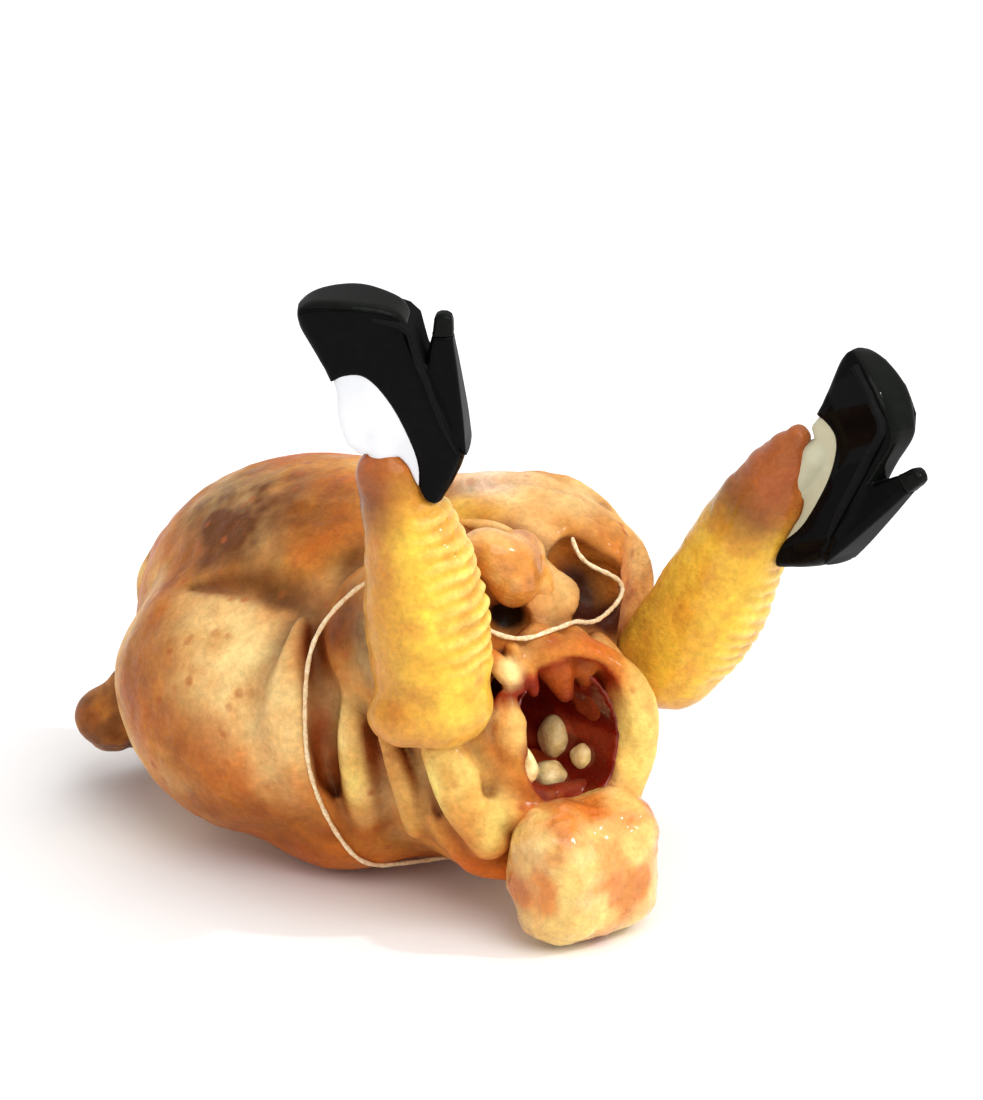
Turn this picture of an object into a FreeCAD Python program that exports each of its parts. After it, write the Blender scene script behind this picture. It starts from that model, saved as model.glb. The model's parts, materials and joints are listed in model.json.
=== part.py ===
import FreeCAD, Part
import math
import os

import Sketcher
from FreeCAD import Matrix, Placement, Rotation, Vector

# Trussed rubber chicken, a stage prop: a stuffed moulded body that lies on its back, with two
# drumsticks hinged on an inner armature, each wearing a high-heeled shoe on a turning ankle peg.
# Frame: origin on the rest plane under the body, +Z up, +Y to the neck end, +X to the right leg.
os.makedirs("parts", exist_ok=True)
doc = FreeCAD.newDocument("rubber_chicken")

# ---------------------------------------------------------------- driving dimensions (mm, degrees)
SIZES = [
    ("body_x", 0), ("body_y", 20), ("body_z", 70),
    ("body_rx", 68), ("body_ry", 108), ("body_rz", 76),
    ("flank_x", 44), ("flank_y", 26), ("flank_z", 58),
    ("flank_rx", 46), ("flank_ry", 64), ("flank_rz", 50),
    ("rump_x", 0), ("rump_y", -64), ("rump_z", 58),
    ("rump_rx", 50), ("rump_ry", 44), ("rump_rz", 50),
    ("thigh_x", 46), ("thigh_y", -46), ("thigh_z", 100),
    ("thigh_rx", 26), ("thigh_ry", 30), ("thigh_rz", 30),
    ("pocket_x", -5), ("pocket_y", -88), ("pocket_z", 68),
    ("pocket_rx", 24), ("pocket_ry", 50), ("pocket_rz", 29),
    ("tail_x", -10), ("tail_y", -114), ("tail_z", 25),
    ("tail_rx", 28), ("tail_ry", 21), ("tail_rz", 26),
    ("keel_x", -4), ("keel_y", -66), ("keel_z", 118),
    ("keel_rx", 13), ("keel_ry", 13), ("keel_rz", 13),
    ("skin_thickness", 4), ("seam_gap", 0.15), ("liner_thickness", 1.5), ("socket_gap", 0.6),
    ("flap_y", 118), ("flap_z", 70), ("flap_radius", 34), ("flap_thickness", 2),
    ("band_radius", 1),
    ("leg_length", 81.5), ("knee_ball_radius", 19.5),
    ("chamber_radius", 12), ("chamber_length", 22),
    ("slot_width", 6), ("slot_radius", 30), ("slot_low", -88), ("slot_high", 20),
    ("pin_radius", 2), ("pin_fit", 0.05), ("pin_head_radius", 3.6), ("pin_head_height", 1.8),
    ("nut_radius", 4), ("nut_height", 2.4),
    ("tongue_thickness", 4), ("tongue_width", 10), ("tongue_eye", 7), ("root_eye", 8),
    ("fork_gap", 4.3), ("fork_width", 10.3), ("fork_depth", 10), ("fork_floor", 9),
    ("fork_height", 18), ("rod_radius", 3), ("peg_length", 22),
    ("bar_radius", 4), ("bar_y", -12), ("bar_z", 76.6), ("bar_length", 117),
    ("bar_nut_radius", 6), ("bar_nut_height", 3),
    ("sleeve_fit", 0.05), ("sleeve_radius", 5), ("sleeve_length", 22), ("sleeve_start", 0.4),
    ("bore_depth", 24), ("collar_radius", 10.4), ("collar_flare", 12.9), ("collar_depth", 25),
    ("upper_thickness", 1.6), ("sole_thickness", 2), ("insole_thickness", 1.5),
    ("shoe_half_width", 20), ("shoe_tilt", 32), ("shoe_height", 70),
    ("left_knee_low", 0), ("right_knee_low", -30),
]
sheet = doc.addObject("Spreadsheet::Sheet", "Sizes")
for row, (alias, value) in enumerate(SIZES, start=1):
    sheet.set(f"A{row}", alias)
    sheet.set(f"B{row}", str(value))
    sheet.setAlias(f"B{row}", alias)
doc.recompute()


def size(alias):
    """The value of one named cell."""
    return float(getattr(sheet, alias))


# ---------------------------------------------------------------- document helpers
TO_SIDE = Rotation(Vector(1, 0, 0), 90)
TO_FRONT = Rotation(Vector(1, 1, 1), 120)
ALONG_X = Rotation(Vector(0, 1, 0), 90)
AT_ORIGIN = Placement()


def bind(obj, formulas):
    """Ties properties to formulas in the bare names of the sheet's cells."""
    for prop, formula in formulas.items():
        words = [f"Sizes.{word}" if word[0].isalpha() else word for word in formula.split()]
        obj.setExpression(prop, " ".join(words))
    return obj


def solid(kind, name, at, formulas):
    """Part primitive with bound sizes at a placement."""
    obj = bind(doc.addObject(kind, name), formulas)
    obj.Placement = at
    return obj


def spot(x=0, y=0, z=0, rotation=None):
    """Placement at a point."""
    return Placement(Vector(x, y, z), rotation or Rotation())


def cylinder(name, at, radius, length):
    """Cylinder that runs from a placement along its Z."""
    return solid("Part::Cylinder", name, at, {"Radius": radius, "Height": length})


def fuse(name, shapes, at=AT_ORIGIN):
    """Union of several objects."""
    obj = doc.addObject("Part::MultiFuse", name)
    obj.Shapes = shapes
    obj.Placement = at
    return obj


def common(name, shapes, at=AT_ORIGIN):
    """What several objects share."""
    obj = doc.addObject("Part::MultiCommon", name)
    obj.Shapes = shapes
    obj.Placement = at
    return obj


def cut(name, base, tools, at=AT_ORIGIN):
    """An object less one or more others, taken away one after another."""
    rest = base
    for i, tool in enumerate(tools, start=1):
        obj = doc.addObject("Part::Cut", name if i == len(tools) else f"{name}_step_{i}")
        obj.Base = rest
        obj.Tool = tool
        rest = obj
    rest.Placement = at
    return rest


def frame(origin, x_axis, y_axis, z_axis):
    """Placement with the given axes."""
    x, y, z, o = x_axis, y_axis, z_axis, origin
    return Placement(Matrix(x.x, y.x, z.x, o.x, x.y, y.y, z.y, o.y, x.z, y.z, z.z, o.z, 0, 0, 0, 1))


def straight_sides(sketch, points):
    """Draws a closed run of straight sides in a sketch, joined end to end."""
    corners = [Vector(a, b, 0) for a, b in points]
    count = len(corners)
    for i in range(count):
        sketch.addGeometry(Part.LineSegment(corners[i], corners[(i + 1) % count]), False)
    for i in range(count):
        sketch.addConstraint(Sketcher.Constraint("Coincident", i, 2, (i + 1) % count, 1))


def prism(name, points, rotation, ahead, back, smooth=False):
    """Solid drawn out both ways from a closed outline, straight-sided or one smooth curve."""
    sketch = doc.addObject("Sketcher::SketchObject", f"{name}_outline")
    sketch.Placement = spot(rotation=rotation)
    if smooth:
        curve = Part.BSplineCurve()
        curve.interpolate(Points=[Vector(a, b, 0) for a, b in points], PeriodicFlag=True)
        sketch.addGeometry(curve, False)
    else:
        straight_sides(sketch, points)
    obj = doc.addObject("Part::Extrusion", name)
    obj.Base = sketch
    obj.DirMode = "Normal"
    obj.Solid = True
    return bind(obj, {"LengthFwd": ahead, "LengthRev": back})


def section_body(label, at, draw, length):
    """PartDesign body padded along X from a sketch that a function draws."""
    body = doc.addObject("PartDesign::Body", label)
    sketch = body.newObject("Sketcher::SketchObject", f"{label}_section")
    plane = next(f for f in body.Origin.OriginFeatures if f.Role == "YZ_Plane")
    sketch.AttachmentSupport = (plane, [""])
    sketch.MapMode = "FlatFace"
    draw(sketch)
    pad = body.newObject("PartDesign::Pad", f"{label}_pad")
    pad.Profile = sketch
    bind(pad, {"Length": length})
    body.Placement = at
    return body


def circle(sketch, radius, value):
    """Circle about the sketch's origin with a bound radius."""
    index = sketch.addGeometry(Part.Circle(Vector(), Vector(0, 0, 1), value), False)
    sketch.addConstraint(Sketcher.Constraint("Coincident", index, 3, -1, 1))
    place = sketch.addConstraint(Sketcher.Constraint("Radius", index, value))
    bind(sketch, {f"Constraints[{place}]": radius})


def hex_nut(label, at, radius, bore, height):
    """Six-sided nut along X."""
    def draw(sketch):
        turns = [math.radians(60 * i) for i in range(6)]
        straight_sides(sketch, [(size(radius) * math.cos(a), size(radius) * math.sin(a)) for a in turns])
        circle(sketch, bore, size(bore))
    return section_body(label, at, draw, height)


# ---------------------------------------------------------------- torso
MASSES = [("body", 1), ("flank", -1), ("flank", 1), ("rump", 1), ("thigh", -1), ("thigh", 1)]


def ellipsoid(name, prefix, side=1, grow="0"):
    """Ellipsoid of the cells named after the prefix, grown all round by a formula."""
    centre = spot(side * size(f"{prefix}_x"), size(f"{prefix}_y"), size(f"{prefix}_z"))
    return solid("Part::Ellipsoid", name, centre, {
        "Radius1": f"{prefix}_rz + {grow}",
        "Radius2": f"{prefix}_rx + {grow}",
        "Radius3": f"{prefix}_ry + {grow}",
    })


def ground(name, rise=0):
    """Block under everything, up to a given height."""
    reach = 4 * size("body_ry")
    depth = 2 * size("body_rz")
    obj = solid("Part::Box", name, spot(-reach / 2, -reach / 2, rise - depth), {
        "Length": "4 * body_ry", "Width": "4 * body_ry", "Height": "2 * body_rz",
    })
    return obj


def torso_masses(name, grow):
    """The fused masses of the torso, grown all round by a formula."""
    return fuse(name, [ellipsoid(f"{name}_{i}", p, s, grow) for i, (p, s) in enumerate(MASSES)])


def pocket(name, grow):
    """Space of the body cavity."""
    return ellipsoid(name, "pocket", 1, grow)


# ---------------------------------------------------------------- legs
KNEES = {"left": Vector(-54, -83, 92), "right": Vector(57, -83, 80)}
LEG_AIMS = {"left": Vector(-16.6, 4, 81), "right": Vector(11.5, -44, 66)}
SIDES = ["left", "right"]
# distance up the leg from the knee, radius of the drumstick there
DRUMSTICK = [(5, 19.2), (16, 20), (33, 18.5), (49, 15), (63, 11.8), (72, 10.2)]
DRUMSTICK_END = 9.8


def leg_frame(side, turn=0):
    """Knee frame: Z up the leg, X the hinge axis, turned about the hinge by some degrees."""
    up = Vector(LEG_AIMS[side]).normalize()
    across = (Vector(1, 0, 0) - up * up.x).normalize()
    return frame(KNEES[side], across, up.cross(across), up) * spot(rotation=Rotation(Vector(1, 0, 0), turn))


def drumstick_form(name, grow, at):
    """Drumstick turned about its own axis from the knee ball to the ankle, grown all round."""
    ball_radius = size("knee_ball_radius") + grow
    end = size("leg_length") + grow
    rise = DRUMSTICK[0][0]
    start = Vector(math.sqrt(ball_radius**2 - rise**2), rise, 0)
    middle = Vector(ball_radius * math.cos(math.pi / 4), -ball_radius * math.sin(math.pi / 4), 0)
    bottom = Vector(0, -ball_radius, 0)
    corners = [start] + [Vector(r + grow, z, 0) for z, r in DRUMSTICK[1:]]
    corners += [Vector(DRUMSTICK_END + grow, end, 0), Vector(0, end, 0), bottom]
    sketch = doc.addObject("Sketcher::SketchObject", f"{name}_outline")
    sketch.Placement = spot(rotation=TO_SIDE)
    for a, b in zip(corners, corners[1:]):
        sketch.addGeometry(Part.LineSegment(a, b), False)
    sketch.addGeometry(Part.Arc(bottom, middle, start), False)
    obj = doc.addObject("Part::Revolution", name)
    obj.Source = sketch
    obj.Axis = Vector(0, 0, 1)
    obj.Angle = 360
    obj.Solid = True
    obj.Placement = at
    return obj


def tongue_frame(side):
    """Frame of a hip bracket, X the hinge axis and Y from the knee pin to the bar, and its length."""
    across = leg_frame(side).Rotation.multVec(Vector(1, 0, 0))
    knee = KNEES[side]
    reach = size("bar_y") - knee.y
    drop = size("bar_z") - knee.z
    aim = Vector(-(reach * across.y + drop * across.z) / across.x, reach, drop)
    length = aim.Length
    aim.normalize()
    return frame(knee, across, aim, across.cross(aim)), length


def hip_bracket(side, bar):
    """Flat steel tongue from the knee pin to the crossbar, with an eye at each end."""
    at, length = tongue_frame(side)
    name = f"{side}_bracket"
    half = size("tongue_thickness") / 2
    plate = solid("Part::Box", f"{name}_plate", at * spot(-half, 0, -size("tongue_width") / 2), {
        "Length": "tongue_thickness", "Height": "tongue_width",
    })
    plate.Width = length
    eye = cylinder(f"{name}_eye", at * spot(-half, rotation=ALONG_X), "tongue_eye", "tongue_thickness")
    root = cylinder(f"{name}_root", at * spot(-half, length, rotation=ALONG_X),
                    "root_eye", "tongue_thickness")
    hole = cylinder(f"{name}_hole", at * spot(-2 * half, rotation=ALONG_X),
                    "pin_radius + pin_fit", "2 * tongue_thickness")
    return cut(f"{side}_hip_bracket", fuse(f"{name}_form", [plate, eye, root]), [hole, bar])


def leg_fork(side, at):
    """Steel fork with two ears round the tongue and a block that holds the leg rod."""
    name = f"{side}_fork"
    wide = size("fork_width")
    deep = size("fork_depth")
    slab = solid("Part::Box", f"{name}_slab", spot(-wide / 2, -deep / 2, 0), {
        "Length": "fork_width", "Width": "fork_depth", "Height": "fork_height",
    })
    ears = cylinder(f"{name}_ears", spot(-wide / 2, rotation=ALONG_X), "0.5 * fork_depth", "fork_width")
    gap = solid("Part::Box", f"{name}_gap", spot(-size("fork_gap") / 2, -deep, -deep), {
        "Length": "fork_gap", "Width": "2 * fork_depth", "Height": "fork_floor + fork_depth",
    })
    hole = cylinder(f"{name}_hole", spot(-wide, rotation=ALONG_X), "pin_radius", "2 * fork_width")
    return cut(f"{side}_leg_fork", fuse(f"{name}_form", [slab, ears]), [gap, hole], at)


def knee_pin(side, at):
    """Steel pin through the fork and the tongue, with a round head."""
    wide = size("fork_width")
    name = f"{side}_pin"
    shank = cylinder(f"{name}_shank", spot(-wide / 2, rotation=ALONG_X),
                     "pin_radius", "fork_width + nut_height")
    head = cylinder(f"{name}_head", spot(-wide / 2 - size("pin_head_height"), rotation=ALONG_X),
                    "pin_head_radius", "pin_head_height")
    return fuse(f"{side}_knee_pin", [shank, head], at)


def drumstick(side, at):
    """Cast rubber drumstick with a chamber for the hinge, a slot for the tongue and a rod bore."""
    name = f"{side}_drum"
    sweep = size("slot_high") - size("slot_low")
    chamber = cylinder(f"{name}_chamber", spot(-size("chamber_length") / 2, rotation=ALONG_X),
                       "chamber_radius", "chamber_length")
    slot_turn = Rotation(Vector(1, 0, 0), size("slot_low") + 90)
    slot = cylinder(f"{name}_slot", spot(-size("slot_width") / 2, rotation=slot_turn * ALONG_X),
                    "slot_radius", "slot_width")
    slot.Angle = sweep
    block = solid("Part::Box", f"{name}_block",
                  spot(-size("fork_width") / 2, -size("fork_depth") / 2, 0),
                  {"Length": "fork_width", "Width": "fork_depth", "Height": "fork_height"})
    bore = cylinder(f"{name}_bore", AT_ORIGIN, "rod_radius", "leg_length + slot_radius")
    form = drumstick_form(f"{name}_form", 0, AT_ORIGIN)
    return cut(f"{side}_drumstick", form, [chamber, slot, block, bore], at)


def leg_parts(side):
    """Every piece that swings with one leg."""
    at = leg_frame(side)
    rise = spot(z=size("fork_height"))
    rod = cylinder(f"{side}_leg_rod", at * rise, "rod_radius", "leg_length + peg_length - fork_height")
    nut = hex_nut(f"{side}_knee_nut", at * spot(size("fork_width") / 2),
                  "nut_radius", "pin_radius", "nut_height")
    return [drumstick(side, at), leg_fork(side, at), rod, knee_pin(side, at), nut]


def ankle_sleeve(side):
    """Brass sleeve that turns on the leg rod's peg and carries the shoe."""
    def draw(sketch):
        circle(sketch, "sleeve_radius", size("sleeve_radius"))
        circle(sketch, "rod_radius + sleeve_fit", size("rod_radius"))
    rise = size("leg_length") + size("sleeve_start")
    up_the_leg = Rotation(Vector(0, 1, 0), -90)
    at = leg_frame(side) * spot(z=rise, rotation=up_the_leg)
    return section_body(f"{side}_ankle_sleeve", at, draw, "sleeve_length")


# ---------------------------------------------------------------- shoes
# shoe frame: X to the heel, Z up from the ground, the toe on -X; outlines are (x, z)
ANKLE = Vector(-3.2, 0, 55.6)
HEEL_HINTS = {"left": Vector(0.64, -0.70, -0.32), "right": Vector(0, -0.443, -0.897)}
TREAD = [(-48.4, 10), (-41, 4.4), (-30, 0), (-19, -1.5), (-13.4, 0.5), (-7.2, 8.9), (-1.7, 14.5),
         (8, 25), (19.5, 37)]
TOPLINE = [(20.2, 48), (16.4, 61.3), (7.6, 59.4), (6.2, 47.6), (-4.5, 37.6), (-15.6, 28), (-29, 33)]
TOE = [(-37, 25), (-46.5, 16)]
HEEL = [(-1.7, 14.5), (-2.15, 5.2), (2.7, 3.3), (11.3, 19.7), (16, 28), (19.5, 37), (8, 25)]
HEEL_TIP = [(-2.15, 5.2), (-2.3, 2.2), (1.1, 0.3), (2.7, 3.3)]
HEEL_FRONT = [(-4.5, 0), (4.5, 0), (6, 14), (11, 40), (-11, 40), (-6, 14)]
INSERT_TOP = [(7.2, 60.2), (-17, 49), (-22, 42.5), (-28.4, 30.7)]
# half widths of the shoe along its length
WIDTHS = [(-47, 4.5), (-44, 8.5), (-36, 12), (-28, 13), (-18, 12.3), (-8, 11.8), (2, 12.6),
          (9, 13.2), (15, 11.6), (19, 8)]


def raised(line, height):
    """A line of points moved along its own upward normal."""
    moved = []
    for i, (x, z) in enumerate(line):
        ahead = line[min(i + 1, len(line) - 1)]
        behind = line[max(i - 1, 0)]
        run = Vector(ahead[0] - behind[0], ahead[1] - behind[1], 0).normalize()
        moved.append((x - height * run.y, z + height * run.x))
    return moved


def plan(name, inset):
    """Upright solid over the shoe's plan, drawn in all round."""
    toe = (WIDTHS[0][0] - 1.4 + inset, 0)
    back = (WIDTHS[-1][0] + 2.2 - inset, 0)
    near = [(max(min(x, back[0] - 2), toe[0] + 1.2), w - inset) for x, w in WIDTHS]
    points = [toe] + near + [back] + [(x, -w) for x, w in reversed(near)]
    return prism(name, points, Rotation(), "shoe_height", "insole_thickness + sole_thickness", smooth=True)


def side_prism(name, points):
    """Solid of a side outline across the whole width of the shoe."""
    return prism(name, points, TO_SIDE, "shoe_half_width", "shoe_half_width")


def shoe_frame(side):
    """Shoe frame that sets the leg into the ankle at the shoe's tilt."""
    leg = leg_frame(side)
    down = leg.Rotation.multVec(Vector(0, 0, -1))
    hint = HEEL_HINTS[side]
    square = (hint - down * hint.dot(down)).normalize()
    tilt = math.radians(size("shoe_tilt"))
    rise = down * math.cos(tilt) - square * math.sin(tilt)
    heelward = down * math.sin(tilt) + square * math.cos(tilt)
    ankle = leg.multVec(Vector(0, 0, size("leg_length")))
    return frame(ankle - heelward * ANKLE.x - rise * ANKLE.z, heelward, rise.cross(heelward), rise)


def shoe_parts(side):
    """Moulded shoe: upper, insole, outsole, heel, heel tip and the white insert with its bore."""
    at = shoe_frame(side)
    name = f"{side}_shoe"
    thick = size("upper_thickness")
    floor = raised(TREAD, size("sole_thickness"))
    padded = raised(TREAD, size("sole_thickness") + size("insole_thickness"))
    tilt = Rotation(Vector(0, 1, 0), size("shoe_tilt"))
    collar = solid("Part::Cone", f"{name}_collar", Placement(ANKLE, tilt), {
        "Radius1": "collar_radius", "Radius2": "collar_flare", "Height": "collar_depth",
    })
    flip = Rotation(Vector(0, 1, 0), size("shoe_tilt") + 180)
    bore = cylinder(f"{name}_bore", Placement(ANKLE, flip), "sleeve_radius + sleeve_fit", "bore_depth")
    outer = common(f"{name}_outer", [side_prism(f"{name}_side", floor + TOPLINE + TOE),
                                     plan(f"{name}_plan", 0)])
    vamp_in = [(-45, 14.5), (-37, 22.8), (-28.5, 30.8)]
    hollow_side = raised(TREAD, 0)[1:-1] + [(18.2, 38), (18.6, 48), (14.6, 66), (-29, 66)] + vamp_in[::-1]
    hollow = common(f"{name}_hollow", [side_prism(f"{name}_hollow_side", hollow_side),
                                       plan(f"{name}_hollow_plan", thick)])
    upper = cut(f"{side}_shoe_upper", outer, [hollow, collar], at)
    insole_side = floor[1:-1] + [(17.2, 37.6)] + padded[1:-1][::-1]
    insole = common(f"{side}_insole", [side_prism(f"{name}_insole_side", insole_side),
                                       plan(f"{name}_insole_plan", thick)], at)
    sole = common(f"{side}_outsole", [side_prism(f"{name}_sole_side", TREAD + floor[::-1]),
                                      plan(f"{name}_sole_plan", 0)], at)
    front = prism(f"{name}_heel_front", HEEL_FRONT, TO_FRONT, "shoe_height", "shoe_height")
    heel = common(f"{side}_heel", [side_prism(f"{name}_heel_side", HEEL), front], at)
    tip_front = prism(f"{name}_tip_front", HEEL_FRONT, TO_FRONT, "shoe_height", "shoe_height")
    tip = common(f"{side}_heel_tip", [side_prism(f"{name}_tip_side", HEEL_TIP), tip_front], at)
    insert_side = padded[1:-1] + [(17.2, 40), (18.4, 48), (14.6, 59.5)] + INSERT_TOP + vamp_in[::-1][1:]
    last = common(f"{name}_last", [side_prism(f"{name}_last_side", insert_side),
                                   plan(f"{name}_last_plan", thick)])
    insert = cut(f"{side}_foot_insert", last, [bore, collar], at)
    return [upper, insole, sole, heel, tip, insert]


# ---------------------------------------------------------------- small body pieces
# shoulder, elbow, wrist and tip of the left wing: place, radius
WING = [(Vector(-38, 86, 55), 14), (Vector(-62.5, 92, 38), 10.5), (Vector(-45, 118, 22), 10),
        (Vector(-16, 121, 11), 6.5)]
LUMPS = {
    "long": (Vector(11, -68, 56), (6, 7, 11)),
    "round": (Vector(2, -75, 46), (7, 7, 7)),
    "side": (Vector(-24, -88, 60), (5, 9, 9)),
    "small": (Vector(12.5, -82, 53), (5, 5, 6)),
}
BAND_ROUTE = [
    (-23, -81, 101), (-42, -62.5, 129), (-61, -55, 129), (-75.5, -40.5, 107), (-67.5, -30.5, 85.5),
    (-71, -30, 62), (-63, -31, 39), (-45, -26.5, 19), (-23, -35, 6.5), (2, -45, 6),
    (26, -42.5, 11.5), (46.5, -33.5, 24.5), (65.5, -29.5, 40), (71.5, -28.5, 63), (69.5, -28.5, 88),
    (71.5, -35, 115.5), (57, -44, 131), (36, -50.5, 131.5), (26.5, -64.5, 116.5), (35, -73.5, 112),
    (39, -76.5, 108), (34.5, -75.5, 102.5), (22.5, -80.5, 101.5), (0, -87.5, 103.5),
]


def wing(side, clear):
    """Folded wing of round limbs from the shoulder to the tip under the neck end."""
    sign = -1 if side == "right" else 1
    name = f"{side}_wing"
    joints = [(Vector(sign * p.x, p.y, p.z), r) for p, r in WING]
    pieces = []
    for i, (centre, radius) in enumerate(joints):
        knob = doc.addObject("Part::Sphere", f"{name}_joint_{i}")
        knob.Radius = radius
        knob.Placement = Placement(centre, Rotation())
        pieces.append(knob)
    for i, ((a, near), (b, far)) in enumerate(zip(joints, joints[1:])):
        limb = doc.addObject("Part::Cone", f"{name}_limb_{i}")
        limb.Radius1, limb.Radius2, limb.Height = near, far, (b - a).Length
        limb.Placement = Placement(a, Rotation(Vector(0, 0, 1), b - a))
        pieces.append(limb)
    return cut(f"{side}_wing", fuse(f"{name}_form", pieces), [clear])


def lump(name, centre, radii, room):
    """Fat lump that grows out of the cavity wall."""
    obj = doc.addObject("Part::Ellipsoid", f"{name}_lump_form")
    obj.Radius2, obj.Radius3, obj.Radius1 = radii
    obj.Placement = Placement(centre, Rotation())
    return common(f"cavity_lump_{name}", [obj, room])


def closed_tube(points, radius):
    """Tube round a closed route of straight runs joined by tangent arcs, and the route's length."""
    count = len(points)
    arcs = []
    for i in range(count):
        back = points[i - 1] - points[i]
        ahead = points[(i + 1) % count] - points[i]
        trim = 0.45 * min(back.Length, ahead.Length)
        back.normalize()
        ahead.normalize()
        bend = (math.pi - back.getAngle(ahead)) / 2
        bend_radius = trim / math.tan(bend)
        inward = (back + ahead).normalize()
        centre = points[i] + inward * math.hypot(bend_radius, trim)
        turn = math.degrees(2 * bend)
        arcs.append((points[i] + back * trim, centre, points[i] + ahead * trim, -back, turn))
        print(f"band point {i}: turn {turn:.0f} deg, radius {bend_radius:.1f} mm")
    pieces = []
    length = 0
    for i, (start, centre, end, heading, turn) in enumerate(arcs):
        section = Part.Face(Part.Wire(Part.Circle(start, heading, radius).toShape()))
        axis = (start - centre).cross(end - centre)
        pieces.append(section.revolve(centre, axis, turn))
        run = arcs[(i + 1) % count][0] - end
        pieces.append(Part.Face(Part.Wire(Part.Circle(end, run, radius).toShape())).extrude(run))
        length += run.Length + math.radians(turn) * (start - centre).Length
    return pieces[0].multiFuse(pieces[1:]).removeSplitter(), length


def truss_band():
    """Closed elastic loop round the rear of the torso."""
    obj = doc.addObject("Part::Feature", "truss_band")
    points = [Vector(*p) for p in BAND_ROUTE]
    obj.Shape, length = closed_tube(points, size("band_radius"))
    obj.Placement = AT_ORIGIN
    expected = length * math.pi * size("band_radius") ** 2
    print(f"band length {length:.1f} mm, volume {obj.Shape.Volume:.0f} of {expected:.0f} mm3")
    return obj


# ---------------------------------------------------------------- assembly
def torso_parts():
    """Every piece that stays with the torso."""
    bar = cylinder("armature_crossbar", spot(-size("bar_length") / 2, size("bar_y"), size("bar_z"), ALONG_X),
                   "bar_radius", "bar_length")
    brackets = [hip_bracket(side, bar) for side in SIDES]
    reach = size("bar_length") / 2
    nut_places = {"left": -reach, "right": reach - size("bar_nut_height")}
    nuts = [hex_nut(f"{side}_bar_nut", spot(nut_places[side], size("bar_y"), size("bar_z")),
                    "bar_nut_radius", "bar_radius", "bar_nut_height") for side in SIDES]
    sockets = {}
    for side in SIDES:
        at = leg_frame(side, size(f"{side}_knee_low"))
        gap = size("socket_gap")
        sockets[side] = [drumstick_form(f"{side}_socket", gap, at),
                         drumstick_form(f"{side}_cup", gap + size("skin_thickness"), at)]
    spaces = [sockets[side][0] for side in SIDES]
    cups = [sockets[side][1] for side in SIDES]
    hollow_form = torso_masses("hollow", "-1 * skin_thickness")
    hollow = cut("torso_hollow", hollow_form, cups + [ground("hollow_ground", size("skin_thickness"))])
    form = cut("torso_form", torso_masses("outer", "0"), [ground("outer_ground")])
    mouth = pocket("mouth", "seam_gap")
    skin = cut("torso_skin", form, [hollow, mouth] + spaces + brackets)
    core_form = torso_masses("core", "-1 * skin_thickness - seam_gap")
    core_rise = size("skin_thickness") + size("seam_gap")
    openings = cups + [ground("core_ground", core_rise), mouth, bar]
    core = cut("torso_core", core_form, openings + brackets + nuts)
    lining = cut("lining_form", pocket("lining_outer", "0"), [pocket("lining_inner", "-1 * liner_thickness")])
    liner = common("cavity_liner", [lining, form])
    clear = torso_masses("clear", "seam_gap")
    tail_form = cut("tail_form", ellipsoid("tail_mass", "tail"), [ground("tail_ground")])
    tail = cut("tail_lobe", tail_form, [clear])
    keel = cut("keel_lump", ellipsoid("keel_mass", "keel"), [clear])
    patch = solid("Part::Sphere", "flap_patch", spot(0, size("flap_y"), size("flap_z")),
                  {"Radius": "flap_radius"})
    flap_form = common("flap_form", [ellipsoid("flap_outer", "body", 1, "seam_gap + flap_thickness"), patch])
    flap = cut("neck_flap", flap_form, [clear])
    room = pocket("room", "-1 * liner_thickness")
    lumps = [lump(name, centre, radii, room) for name, (centre, radii) in LUMPS.items()]
    wings = [wing(side, clear) for side in SIDES]
    return [skin, core, liner, tail, keel, flap, truss_band(), bar] + lumps + wings + brackets + nuts


def check_document():
    """Stops when any object of the document has failed."""
    for obj in doc.Objects:
        bad = [state for state in obj.State if state in ("Invalid", "Error")]
        if bad:
            raise RuntimeError(f"{obj.Name} is {bad}")


def write_parts(nodes):
    """Writes every node, once all are whole."""
    for obj in nodes:
        shape = obj.Shape
        if shape.isNull() or not shape.isValid() or not shape.Solids:
            raise RuntimeError(f"{obj.Label} has no valid solid")
    for obj in nodes:
        obj.Shape.exportStep(f"parts/{obj.Label}.step")
        print(f"{obj.Label}: {len(obj.Shape.Solids)} solid, {obj.Shape.Volume / 1000:.2f} cm3")


nodes = torso_parts()
for side in SIDES:
    nodes += leg_parts(side) + [ankle_sleeve(side)] + shoe_parts(side)
doc.recompute()
check_document()
write_parts(nodes)
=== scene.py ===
import json
import math

import bpy
import numpy as np
import openvdb
from mathutils import Matrix, Vector


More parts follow.
